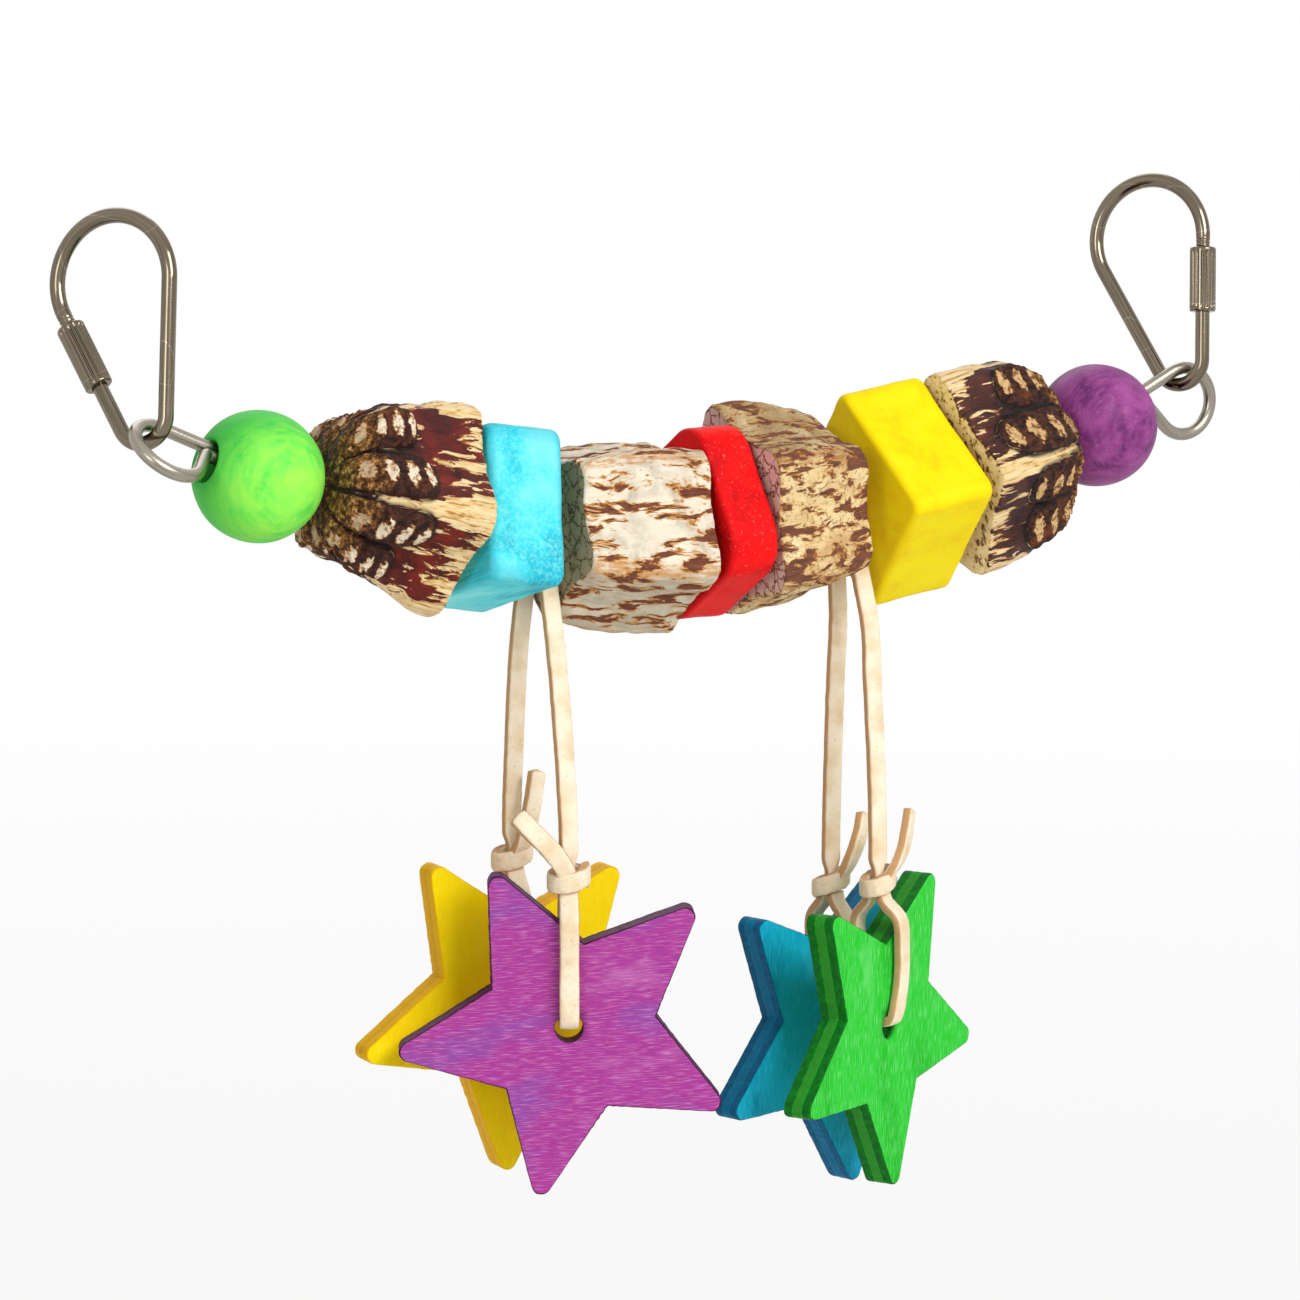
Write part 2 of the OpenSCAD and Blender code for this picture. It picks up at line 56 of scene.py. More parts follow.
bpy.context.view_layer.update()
LOG = logging.getLogger("bird_swing")
MM = 0.001
Array = np.ndarray
Colour = tuple[float, float, float, float]


# Shared helpers for colours, nodes and meshes


def linear(code: str) -> Colour:
    """Turn an sRGB hex colour to linear light.

    Args:
        code: colour as six hex digits after a hash sign.

    Returns:
        Linear red, green and blue, with an alpha of one.
    """
    srgb = [int(code[k : k + 2], 16) / 255 for k in (1, 3, 5)]
    red, green, blue = (c / 12.92 if c <= 0.04045 else ((c + 0.055) / 1.055) ** 2.4 for c in srgb)
    return red, green, blue, 1.0


def add(
    tree: bpy.types.NodeTree,
    kind: str,
    values: dict[Any, Any] | None = None,
    links: dict[Any, Any] | None = None,
    stops: list[tuple[float, str]] | None = None,
    **settings: Any,
) -> bpy.types.Node:
    """Add one shader node with its settings and links.

    The sockets of a Mix node go by number, because their names repeat: 0 is the share, 6 the
    colour below and 7 the colour over it.

    Args:
        tree: node tree of a material or the world.
        kind: node type without its ShaderNode prefix.
        values: socket name or number to a fixed value, which may be a hex colour.
        links: socket name or number to the socket that feeds it, or to a node, whose first live
            output then does.
        stops: places and hex colours of a colour ramp.
        settings: the node's own properties.

    Returns:
        The new node.
    """
    made = tree.nodes.new("ShaderNode" + kind)
    for name, value in settings.items():
        setattr(made, name, value)
    for name, value in (values or {}).items():
        made.inputs[name].default_value = linear(value) if isinstance(value, str) else value
    for name, source in (links or {}).items():
        if isinstance(source, bpy.types.Node):
            source = next(out for out in source.outputs if out.enabled)
        tree.links.new(source, made.inputs[name])
    if stops:
        ramp = made.color_ramp.elements
        ramp.remove(ramp[1])
        ramp[0].position, ramp[0].color = stops[0][0], linear(stops[0][1])
        for place, code in stops[1:]:
            ramp.new(place).color = linear(code)
    return made


def turn(axis: str, degrees: float) -> Array:
    """Matrix that turns points about one axis, anticlockwise seen from its tip.

    Args:
        axis: x, y or z.
        degrees: angle of the turn.

    Returns:
        A 3 by 3 matrix.
    """
    c, s = np.cos(np.radians(degrees)), np.sin(np.radians(degrees))
    rows = {
        "x": [[1, 0, 0], [0, c, -s], [0, s, c]],
        "y": [[c, 0, s], [0, 1, 0], [-s, 0, c]],
        "z": [[c, -s, 0], [s, c, 0], [0, 0, 1]],
    }
    return np.array(rows[axis], float)


def unit(vectors: Array) -> Array:
    """Scale vectors along the last axis to length one."""
    return vectors / np.maximum(np.linalg.norm(vectors, axis=-1, keepdims=True), 1e-9)


def grid(*parts: Array | float) -> Array:
    """Stack coordinates that broadcast to one grid of points, with the coordinate last."""
    return np.stack(np.broadcast_arrays(*parts), -1)


def distance(path: Array) -> Array:
    """Distance along a path at each of its points."""
    return np.concatenate([[0], np.cumsum(np.linalg.norm(np.diff(path, axis=0), axis=1))])


def ease(value: Array, low: float, high: float) -> Array:
    """Smooth step from 0 at low to 1 at high."""
    t = np.clip((value - low) / (high - low), 0, 1)
    return t * t * (3 - 2 * t)


def wobble(points: Array, wave: float, seed: int) -> Array:
    """Gentle unevenness: a sum of eight sine waves in seeded directions.

    Args:
        points: points in millimetres, in any array shape with three last.
        wave: longest wavelength in millimetres.
        seed: choice of the directions.

    Returns:
        Values between about -1 and 1, one a point.
    """
    rng = np.random.default_rng(seed)
    ways = unit(rng.normal(size=(8, 3))) * (2 * np.pi / wave) * np.linspace(1, 2.6, 8)[:, None]
    return np.sin(points @ ways.T + rng.uniform(0, 6.28, 8)) @ (np.ones(8) / 4.5)


def grid_object(name: str, points: Array, marks: dict[str, Array], ring: bool = False) -> bpy.types.Object:
    """Make a mesh from a grid of points whose rows close, with a flat cap on the first and last.

    Each grid cell is one quad. Its faces are turned outwards by the sign of the enclosed
    volume: six times that is the sum of the corner products of all its triangles.

    Args:
        name: object name.
        points: rows by columns by three, in millimetres.
        marks: attribute name to a rows by columns array, or one with three last.
        ring: the last row joins the first, so that there are no caps.

    Returns:
        The linked object, at the origin.
    """
    rows, columns = points.shape[:2]
    i, j = np.meshgrid(np.arange(rows if ring else rows - 1), np.arange(columns), indexing="ij")
    near, far = i * columns, (i + 1) % rows * columns
    right = (j + 1) % columns
    quads = np.stack([near + j, far + j, far + right, near + right], -1).reshape(-1, 4)
    caps = np.empty((0, columns), int)
    if not ring:
        caps = np.stack([np.arange(columns), (rows - 1) * columns + np.arange(columns)[::-1]])
    flat = points.reshape(-1, 3)
    a, b, c, d = (flat[quads[:, k]] for k in range(4))
    volume = np.einsum("ij,ij->", a, np.cross(b, c)) + np.einsum("ij,ij->", a, np.cross(c, d))
    for cap in caps:
        rim = flat[cap]
        volume += np.einsum("ij,j->", np.cross(rim, np.roll(rim, -1, 0)), rim.mean(0))
    if volume < 0:
        quads, caps = quads[:, ::-1], caps[:, ::-1]
    mesh = bpy.data.meshes.new(name)
    mesh.vertices.add(len(flat))
    mesh.vertices.foreach_set("co", (flat * MM).astype(np.float32).ravel())
    corners = np.concatenate([quads.ravel(), caps.ravel()])
    starts = np.concatenate([np.arange(len(quads)) * 4, quads.size + np.arange(len(caps)) * columns])
    mesh.loops.add(len(corners))
    mesh.loops.foreach_set("vertex_index", corners.astype(np.int32))
    mesh.polygons.add(len(starts))
    mesh.polygons.foreach_set("loop_start", starts.astype(np.int32))
    mesh.polygons.foreach_set("use_smooth", np.ones(len(starts), bool))
    for key, values in marks.items():
        vector = values.ndim == 3
        layer = mesh.attributes.new(key, "FLOAT_VECTOR" if vector else "FLOAT", "POINT")
        layer.data.foreach_set("vector" if vector else "value", values.astype(np.float32).ravel())
    mesh.update(calc_edges=True)
    mesh.validate()
    made = bpy.data.objects.new(name, mesh)
    bpy.context.scene.collection.objects.link(made)
    return made


def sweep(
    path: Array, across: Array, wide: Array, thick: Array, round_end: float = 0.0
) -> tuple[Array, Array]:
    """Carry a section along a path.

    A point is the path point plus the section's width share along the across direction, made
    square to the path, plus its thickness share along the third direction. With rounded ends,
    the section shrinks as a quarter circle over the last bit of the path.

    Args:
        path: path points, n by 3.
        across: width direction, 3 for the whole path or n by 3.
        wide: section widths, m, or n by m where the section changes.
        thick: section thicknesses, of the same shape.
        round_end: length over which each end is rounded.

    Returns:
        The grid of points, n by m by 3, and the distance along the path, n.
    """
    along = unit(np.gradient(path, axis=0))
    side = unit(across - np.sum(across * along, -1, keepdims=True) * along)
    third = np.cross(along, side)
    run = distance(path)
    shape = len(path), wide.shape[-1]
    wide, thick = np.broadcast_to(wide, shape), np.broadcast_to(thick, shape)
    if round_end:
        left = np.clip(np.minimum(run, run[-1] - run) / round_end, 0.0, 1)
        shrink = np.sqrt(np.maximum(1 - (1 - left) ** 2, 0.01))[:, None]
        wide, thick = wide * shrink, thick * shrink
    points = path[:, None] + wide[..., None] * side[:, None] + thick[..., None] * third[:, None]
    return points, run


def ring_section(radius: float, count: int) -> tuple[Array, Array]:
    """Round section: cosine and sine shares of a radius."""
    a = np.arange(count) * 2 * np.pi / count
    return radius * np.cos(a), radius * np.sin(a)


def strip_section(width: float, thickness: float, count: int) -> tuple[Array, Array]:
    """Flat section with rounded edges: a circle's shares, drawn out by powers below one.

    Args:
        width: width of the strip.
        thickness: thickness of the strip.
        count: points round the section.

    Returns:
        Shares of the width and of the thickness, each of the count.
    """
    a = np.arange(count) * 2 * np.pi / count
    c, s = np.cos(a), np.sin(a)
    return width / 2 * np.sign(c) * np.abs(c) ** 0.45, thickness / 2 * np.sign(s) * np.abs(s) ** 0.6


def smooth_path(knots: Array, step: float) -> Array:
    """Evenly spaced points on a smooth curve through given points.

    The curve is the cubic Hermite curve whose slope at a knot is that of its two neighbours.

    Args:
        knots: points to pass through, k by 3.
        step: spacing of the result.

    Returns:
        Points along the curve, n by 3.
    """
    run = distance(knots)
    slope = np.gradient(knots, run, axis=0)
    at = np.linspace(0, run[-1], 40 * len(knots))
    k = np.clip(np.searchsorted(run, at, "right") - 1, 0, len(run) - 2)
    gap = (run[k + 1] - run[k])[:, None]
    t = ((at - run[k])[:, None]) / gap
    curve = (
        (2 * t**3 - 3 * t**2 + 1) * knots[k]
        + (t**3 - 2 * t**2 + t) * gap * slope[k]
        + (3 * t**2 - 2 * t**3) * knots[k + 1]
        + (t**3 - t**2) * gap * slope[k + 1]
    )
    length = distance(curve)
    even = np.linspace(0, length[-1], max(int(round(length[-1] / step)), 8) + 1)
    return np.stack([np.interp(even, length, curve[:, k]) for k in range(3)], -1)


def collar(
    length: float, bore: float, edge: float, faces: int, sides: int
) -> tuple[Array, Array, Array, Array]:
    """Stations of a bored solid's outline, from its bore out, along its side, and back in.

    The radius at a station is a share of the outer radius plus a shift. A face runs from the
    bore to the edge, the edge is a quarter circle, the side is the full radius, and the bore
    closes the outline.

    Args:
        length: length along the bore.
        bore: bore radius.
        edge: radius of the rounded edge.
        faces: stations on each end face.
        sides: stations along the side.

    Returns:
        Place along the bore, share, shift, and which end a station is on (-1, 0 or 1; the bore is 0).
    """
    near_edge = 0.97
    f = np.sort(np.concatenate([np.linspace(0, 1, faces), [near_edge]]))
    q = np.linspace(0, np.pi / 2, 6)[1:]
    half = length / 2
    x_face, x_edge = np.full(len(f), -half), -half + edge * (1 - np.cos(q))
    side_x = np.linspace(-half + edge, half - edge, sides + 2)[1:-1]
    bore_x = np.linspace(half, -half, 6)[1:-1]
    face_shift, edge_shift = bore * (1 - f) - f * edge, -edge * (1 - np.sin(q))
    x = np.concatenate([x_face, x_edge, side_x, -x_edge[::-1], -x_face[::-1], bore_x])
    one = np.ones
    share = np.concatenate([f, one(len(q)), one(sides), one(len(q)), f[::-1], 0 * bore_x])
    shift = np.concatenate(
        [face_shift, edge_shift, 0 * side_x, edge_shift[::-1], face_shift[::-1], bore + 0 * bore_x]
    )
    end = np.concatenate([-one(len(f)), 0 * q, 0 * side_x, 0 * q, one(len(f)), 0 * bore_x])
    return x, share, shift, end


# Finishes


@dataclass(frozen=True)
class Finish:
    """A material that is made once from its nodes."""

    name: str

    def paint(self) -> bpy.types.Material:
        """Make the material.

        Returns:
            The material, with its shader wired.
        """
        made = bpy.data.materials.new(self.name)
        made.use_nodes = True
        tree = made.node_tree
        tree.nodes.clear()
        add(tree, "OutputMaterial", links={"Surface": self.wire(tree)})
        return made

    def wire(self, tree: bpy.types.NodeTree) -> bpy.types.Node:
        """Add the nodes up to the shader; each finish has its own way."""
        raise NotImplementedError


@dataclass(frozen=True)
class BrightMetal(Finish):
    """Wire drawn from steel and then plated or passivated: a clear reflection with bright lines of
    light along the wire, softened by fine drawing lines, and a few scratches. Its base colours are
    far darker than the bare metal, a painted dark reflection."""

    # tone and worn are far darker than bare plated steel: a painted dark reflection
    tone: str = "#6a6051"
    worn: str = "#857a69"
    roughness: float = 0.12
    line_mm: float = 0.4

    def wire(self, tree: bpy.types.NodeTree) -> bpy.types.Node:
        """Drawing lines are noise stretched along the wire, scratches are the edges of large cells.

        The lines are drawn coarser than real ones, so that they show.

        Args:
            tree: node tree of the material.

        Returns:
            The shader.
        """
        grain = add(tree, "Attribute", attribute_name="grain").outputs["Vector"]
        lines = add(
            tree, "Mapping", values={"Scale": (0.03 / self.line_mm, 1 / self.line_mm, 1 / self.line_mm)},
            links={"Vector": grain},
        )
        drawn = add(
            tree, "TexNoise", values={"Scale": 1.0, "Detail": 2.0, "Roughness": 0.5},
            links={"Vector": lines},
        )
        tone = add(tree, "ValToRGB", links={"Fac": drawn}, stops=[(0.35, self.tone), (0.7, self.worn)])
        low, high = self.roughness * 0.85, self.roughness * 1.3
        rough = add(
            tree, "MapRange", values={"From Min": 0.3, "From Max": 0.75, "To Min": low, "To Max": high},
            links={"Value": drawn},
        )
        scratch = add(
            tree, "TexVoronoi", feature="DISTANCE_TO_EDGE", values={"Scale": 0.06, "Randomness": 1.0},
            links={"Vector": grain},
        )
        thin = add(
            tree, "MapRange", values={"From Min": 0.001, "From Max": 0.003, "To Min": 0.3, "To Max": 0.0},
            links={"Value": scratch},
        )
        marked = add(tree, "Mix", data_type="RGBA", values={7: "#d8d0c0"}, links={0: thin, 6: tone})
        bump = add(tree, "Bump", values={"Strength": 0.04, "Distance": 0.00003}, links={"Height": drawn})
        return add(
            tree, "BsdfPrincipled", values={"Metallic": 1.0},
            links={"Base Color": marked, "Roughness": rough, "Normal": bump},
        )


@dataclass(frozen=True)
class DyedWood(Finish):
    """Wood soaked in dye and tumbled dry: even, strong colour, fibres a little lighter, pores as
    fine pale flecks, and a dull sheen. A bead may show its year rings round one pole, with
    painted shade that darkens it away from that pole."""

    main: str
    light: str
    dark: str
    fibre: tuple[float, float, float]
    cloud_mm: float
    fleck: float
    roughness: float = 0.55
    rings: tuple[float, float, float] | None = None
    pore: str = "#ffffff"

    def wire(self, tree: bpy.types.NodeTree) -> bpy.types.Node:
        """Clouds of dye, then fibres stretched along the grain, then pores as fine flecks.

        Args:
            tree: node tree of the material.

        Returns:
            The shader.
        """
        grain = add(tree, "Attribute", attribute_name="grain").outputs["Vector"]
        edge = add(tree, "Attribute", attribute_name="worn").outputs["Fac"]
        # Dye and fibres
        cloud = add(
            tree, "TexNoise", values={"Scale": 1 / self.cloud_mm, "Detail": 3.0, "Distortion": 0.6},
            links={"Vector": grain},
        )
        tone = add(
            tree, "ValToRGB", links={"Fac": cloud},
            stops=[(0.3, self.dark), (0.48, self.main), (0.72, self.light)],
        )
        along = add(tree, "Mapping", values={"Scale": self.fibre}, links={"Vector": grain})
        fibre = add(
            tree, "TexNoise", values={"Scale": 1.0, "Detail": 6.0, "Roughness": 0.62},
            links={"Vector": along},
        )
        streak = add(
            tree, "MapRange", values={"From Min": 0.42, "From Max": 0.72, "To Min": 0.0, "To Max": 0.75},
            links={"Value": fibre},
        )
        lit = add(tree, "Mix", data_type="RGBA", values={7: self.light}, links={0: streak, 6: tone})
        # Pores and worn edges
        pore = add(
            tree, "TexNoise", values={"Scale": 2.0, "Detail": 3.0, "Roughness": 0.7},
            links={"Vector": grain},
        )
        specks = add(
            tree, "MapRange",
            values={"From Min": 0.61, "From Max": 0.69, "To Min": 0.0, "To Max": self.fleck},
            links={"Value": pore},
        )
        flecked = add(tree, "Mix", data_type="RGBA", values={7: self.pore}, links={0: specks, 6: lit})
        rim = add(tree, "Math", operation="MULTIPLY", links={0: edge, 1: cloud})
        colour = add(tree, "Mix", data_type="RGBA", values={7: self.dark}, links={0: rim, 6: flecked})
        if self.rings:
            # Year rings round the pole, and painted shade: darker away from the pole, which faces the front
            pole = add(tree, "VectorMath", operation="DOT_PRODUCT", values={1: self.rings}, links={0: grain})
            ring = add(
                tree, "MapRange", values={"From Min": 3.0, "From Max": 9.8, "To Min": 0.0, "To Max": 26.0},
                links={"Value": pole},
            )
            bent = add(tree, "Math", operation="MULTIPLY_ADD", values={1: 5.0}, links={0: cloud, 2: ring})
            wave = add(tree, "Math", operation="SINE", links={0: bent})
            year = add(
                tree, "MapRange", values={"From Min": -1.0, "From Max": 1.0, "To Min": 0.0, "To Max": 0.3},
                links={"Value": wave},
            )
            ringed = add(tree, "Mix", data_type="RGBA", values={7: self.light}, links={0: year, 6: colour})
            # painted shade: the bead darkens towards its sides, away from the front-facing pole
            side = add(
                tree, "MapRange", values={"From Min": 7.5, "From Max": 1.0, "To Min": 0.0, "To Max": 0.8},
                links={"Value": pole},
            )
            colour = add(tree, "Mix", data_type="RGBA", values={7: self.dark}, links={0: side, 6: ringed})
        rough = add(
            tree, "MapRange", values={"To Min": self.roughness - 0.1, "To Max": self.roughness + 0.15},
            links={"Value": fibre},
        )
        height = add(tree, "Math", operation="ADD", links={0: fibre, 1: pore})
        bump = add(tree, "Bump", values={"Strength": 0.35, "Distance": 0.00012}, links={"Height": height})
        return add(
            tree, "BsdfPrincipled", values={"Specular IOR Level": 0.12},
            links={"Base Color": colour, "Roughness": rough, "Normal": bump},
        )


@dataclass(frozen=True)
class DyedPly(Finish):
    """Three-ply birch, die cut and dyed: long fine fibres on the faces, dark soaked edges, and a
    middle ply whose end grain takes the dye differently."""

    main: str
    light: str
    dark: str
    edge: str
    core: str
    grain_turn: float

    def wire(self, tree: bpy.types.NodeTree) -> bpy.types.Node:
        """Fibres are noise stretched thirteen to one along the grain; plies are picked by depth.

        The fibres are drawn coarser than real ones, so that they show.

        Args:
            tree: node tree of the material.

        Returns:
            The shader.
        """
        grain = add(tree, "Attribute", attribute_name="grain").outputs["Vector"]
        wall = add(tree, "Attribute", attribute_name="wall").outputs["Fac"]
        depth = add(tree, "Attribute", attribute_name="depth").outputs["Fac"]
        # Faces
        turned = (0.0, 0.0, np.radians(self.grain_turn))
        along = add(
            tree, "Mapping", vector_type="TEXTURE", values={"Rotation": turned, "Scale": (2.6, 0.2, 0.2)},
            links={"Vector": grain},
        )
        fibre = add(
            tree, "TexNoise", values={"Scale": 1.0, "Detail": 3.0, "Roughness": 0.55},
            links={"Vector": along},
        )
        cloud_map = add(
            tree, "Mapping", vector_type="TEXTURE", values={"Rotation": turned, "Scale": (22.0, 8.0, 8.0)},
            links={"Vector": grain},
        )
        cloud = add(
            tree, "TexNoise", values={"Scale": 1.0, "Detail": 4.0, "Distortion": 0.2},
            links={"Vector": cloud_map},
        )
        tone = add(
            tree, "ValToRGB", links={"Fac": cloud},
            stops=[(0.34, self.dark), (0.48, self.main), (0.6, self.main), (0.86, self.light)],
        )
        pale = add(
            tree, "MapRange", values={"From Min": 0.5, "From Max": 0.7, "To Min": 0.0, "To Max": 0.75},
            links={"Value": fibre},
        )
        deep = add(
            tree, "MapRange", values={"From Min": 0.45, "From Max": 0.28, "To Min": 0.0, "To Max": 0.6},
            links={"Value": fibre},
        )
        lit = add(tree, "Mix", data_type="RGBA", values={7: self.light}, links={0: pale, 6: tone})
        face = add(tree, "Mix", data_type="RGBA", values={7: self.dark}, links={0: deep, 6: lit})
        # Edges, ply by ply
        ragged = add(tree, "TexNoise", values={"Scale": 1.1, "Detail": 4.0}, links={"Vector": grain})
        shift = add(tree, "Math", operation="MULTIPLY_ADD", values={1: 0.16, 2: -0.08}, links={0: ragged})
        level = add(tree, "Math", operation="ADD", links={0: depth, 1: shift})
        middle = add(tree, "Math", operation="ABSOLUTE", links={0: level})
        plies = add(
            tree, "ValToRGB", links={"Fac": middle},
            stops=[
                (0.0, self.core), (0.3, self.core), (0.33, self.dark), (0.37, self.edge), (1.0, self.edge),
            ],
        )
        uneven = add(
            tree, "MapRange", values={"From Min": 0.4, "From Max": 0.75, "To Min": 0.0, "To Max": 0.2},
            links={"Value": ragged},
        )
        cut = add(tree, "Mix", data_type="RGBA", values={7: self.main}, links={0: uneven, 6: plies})
        whole = add(tree, "Mix", data_type="RGBA", links={0: wall, 6: face, 7: cut})
        bump = add(tree, "Bump", values={"Strength": 0.3, "Distance": 0.0001}, links={"Height": fibre})
        return add(
            tree, "BsdfPrincipled", values={"Roughness": 0.55, "Specular IOR Level": 0.1},
            links={"Base Color": whole, "Normal": bump},
        )


@dataclass(frozen=True)
class Suede(Finish):
    """Split leather lace, undyed: a soft nap that scatters light, pale faces, and browner cut
    edges where the hide's middle shows."""

    face: str = "#f8ead0"
    edge: str = "#c89b6c"
    nap_mm: float = 0.5

    def wire(self, tree: bpy.types.NodeTree) -> bpy.types.Node:
        """Nap is fine noise, drawn coarser than real fibres so that it shows.

        Args:
            tree: node tree of the material.

        Returns:
            The shader.
        """
        grain = add(tree, "Attribute", attribute_name="grain").outputs["Vector"]
        rim = add(tree, "Attribute", attribute_name="rim").outputs["Fac"]
        nap = add(
            tree, "TexNoise", values={"Scale": 1 / self.nap_mm, "Detail": 5.0, "Roughness": 0.7},
            links={"Vector": grain},
        )
        blotch = add(tree, "TexNoise", values={"Scale": 0.22, "Detail": 2.0}, links={"Vector": grain})
        tone = add(
            tree, "ValToRGB", links={"Fac": blotch},
            stops=[(0.3, "#ead0a8"), (0.55, self.face), (0.8, "#f9eed8")],
        )
        speck = add(
            tree, "MapRange", values={"From Min": 0.42, "From Max": 0.3, "To Min": 0.0, "To Max": 0.55},
            links={"Value": nap},
        )
        specked = add(tree, "Mix", data_type="RGBA", values={7: "#c49a6e"}, links={0: speck, 6: tone})
        fuzz = add(tree, "Math", operation="MULTIPLY_ADD", values={1: 0.7, 2: -0.35}, links={0: nap})
        side = add(tree, "Math", operation="ADD", use_clamp=True, links={0: rim, 1: fuzz})
        both = add(tree, "Mix", data_type="RGBA", values={7: self.edge}, links={0: side, 6: specked})
        bump = add(tree, "Bump", values={"Strength": 0.5, "Distance": 0.00015}, links={"Height": nap})
        return add(
            tree, "BsdfPrincipled",
            values={"Roughness": 0.95, "Specular IOR Level": 0.1, "Sheen Weight": 0.15},
            links={"Base Color": both, "Normal": bump},
        )


@dataclass(frozen=True)
class ScarredHusk(Finish):
    """Dried pod core with stalk scars: waxy maroon faces streaked with cream, cream ridges, and
    dull chocolate lobes that carry rows of cream scars, with painted shade, near black, in the
    crevices between them."""

    maroon: str = "#5c150e"
    deep: str = "#3a0e0b"
    bright: str = "#8a2212"
    cream: str = "#f2d9a6"
    lobe_tone: str = "#38201a"
    lobe_light: str = "#563226"
    scar_tone: str = "#f4e6cc"
    amber: str = "#a8703a"
    cream_bias: float = 0.0

    def wire(self, tree: bpy.types.NodeTree) -> bpy.types.Node:
        """Streaks are stretched noise, pushed to cream by the ridges and the cut end.

        Args:
            tree: node tree of the material.

        Returns:
            The shader.
        """
        grain = add(tree, "Attribute", attribute_name="grain").outputs["Vector"]
        names = ("ridge", "lobe", "scar", "rim", "painted_crevice_shade", "tip", "open_end", "cut")
        marks = {k: add(tree, "Attribute", attribute_name=k).outputs["Fac"] for k in names}
        # Waxy faces, streaked with cream
        along = add(tree, "Mapping", values={"Scale": (0.15, 0.85, 0.85)}, links={"Vector": grain})
        streak = add(
            tree, "TexNoise", values={"Scale": 1.0, "Detail": 6.0, "Roughness": 0.6, "Distortion": 0.5},
            links={"Vector": along},
        )
        push = add(
            tree, "Math", operation="MULTIPLY_ADD", values={1: 0.3},
            links={0: marks["ridge"], 2: streak},
        )
        pull = add(
            tree, "Math", operation="MULTIPLY_ADD", values={1: 0.13},
            links={0: marks["open_end"], 2: push},
        )
        level = add(tree, "Math", operation="ADD", values={1: self.cream_bias}, links={0: pull})
        cloud = add(
            tree, "TexNoise", values={"Scale": 0.28, "Detail": 4.0, "Distortion": 0.5},
            links={"Vector": grain},
        )
        wax = add(
            tree, "ValToRGB", links={"Fac": cloud},
            stops=[(0.32, self.deep), (0.5, self.maroon), (0.72, self.bright)],
        )
        fine = add(tree, "Mapping", values={"Scale": (0.12, 2.2, 2.2)}, links={"Vector": grain})
        thread = add(tree, "TexNoise", values={"Scale": 1.0, "Detail": 4.0}, links={"Vector": fine})
        straw = add(
            tree, "ValToRGB", links={"Fac": thread},
            stops=[(0.34, "#b5813f"), (0.42, "#e4bf80"), (0.55, self.cream)],
        )
        is_cream = add(tree, "MapRange", values={"From Min": 0.6, "From Max": 0.612}, links={"Value": level})
        is_rust = add(tree, "MapRange", values={"From Min": 0.575, "From Max": 0.6}, links={"Value": level})
        rust = add(tree, "Mix", data_type="RGBA", values={7: "#8a4a1e"}, links={0: is_rust, 6: wax})
        face = add(tree, "Mix", data_type="RGBA", links={0: is_cream, 6: rust, 7: straw})
        # Lobes, the knobs at their tips, and painted shade, near black, in the crevices between them
        scale = add(
            tree, "TexNoise", values={"Scale": 1.1, "Detail": 6.0, "Roughness": 0.7},
            links={"Vector": grain},
        )
        hide = add(
            tree, "ValToRGB", links={"Fac": scale},
            stops=[(0.36, "#1a0d0b"), (0.5, self.lobe_tone), (0.63, self.lobe_light), (0.72, "#7c4a28")],
        )
        knob = add(
            tree, "ValToRGB", links={"Fac": scale},
            stops=[(0.38, "#24130b"), (0.48, "#5c3a1e"), (0.56, "#986632"), (0.66, "#deb878")],
        )
        rust_share = add(
            tree, "MapRange", values={"From Min": 0.54, "From Max": 0.7, "To Min": 0.0, "To Max": 0.55},
            links={"Value": cloud},
        )
        rusty = add(tree, "Mix", data_type="RGBA", values={7: "#8c4c22"}, links={0: rust_share, 6: hide})
        shell = add(tree, "Mix", data_type="RGBA", links={0: marks["tip"], 6: rusty, 7: knob})
        on_lobe = add(
            tree, "MapRange", values={"From Min": 0.2, "From Max": 0.34},
            links={"Value": marks["lobe"]},
        )
        lobed = add(tree, "Mix", data_type="RGBA", links={0: on_lobe, 6: face, 7: shell})
        # painted shade: near black in the crevices between lobes
        dark = add(tree, "Mix", data_type="RGBA", values={7: "#0e0605"}, links={0: marks["painted_crevice_shade"], 6: lobed})
        # Scars with an amber rim
        rough_scar = add(tree, "Math", operation="MULTIPLY_ADD", values={1: 1.5, 2: -0.75}, links={0: scale})
        scar_level = add(tree, "Math", operation="ADD", links={0: marks["scar"], 1: rough_scar})
        rim_step = add(
            tree, "MapRange", values={"From Min": 0.02, "From Max": 0.18},
            links={"Value": scar_level},
        )
        in_step = add(
            tree, "MapRange", values={"From Min": 0.26, "From Max": 0.36},
            links={"Value": scar_level},
        )
        has_scar = add(
            tree, "MapRange", values={"From Min": 0.0, "From Max": 0.1},
            links={"Value": marks["scar"]},
        )
        scar_rim = add(tree, "Math", operation="MULTIPLY", links={0: rim_step, 1: has_scar})
        scar_in = add(tree, "Math", operation="MULTIPLY", links={0: in_step, 1: has_scar})
        rimmed = add(tree, "Mix", data_type="RGBA", values={7: self.amber}, links={0: scar_rim, 6: dark})
        corky = add(tree, "ValToRGB", links={"Fac": scale}, stops=[(0.4, self.amber), (0.5, self.scar_tone)])
        old = add(tree, "Math", operation="MULTIPLY", values={1: 0.55}, links={0: marks["tip"]})
        aged = add(tree, "Mix", data_type="RGBA", values={7: self.amber}, links={0: old, 6: corky})
        scarred = add(tree, "Mix", data_type="RGBA", links={0: scar_in, 6: rimmed, 7: aged})
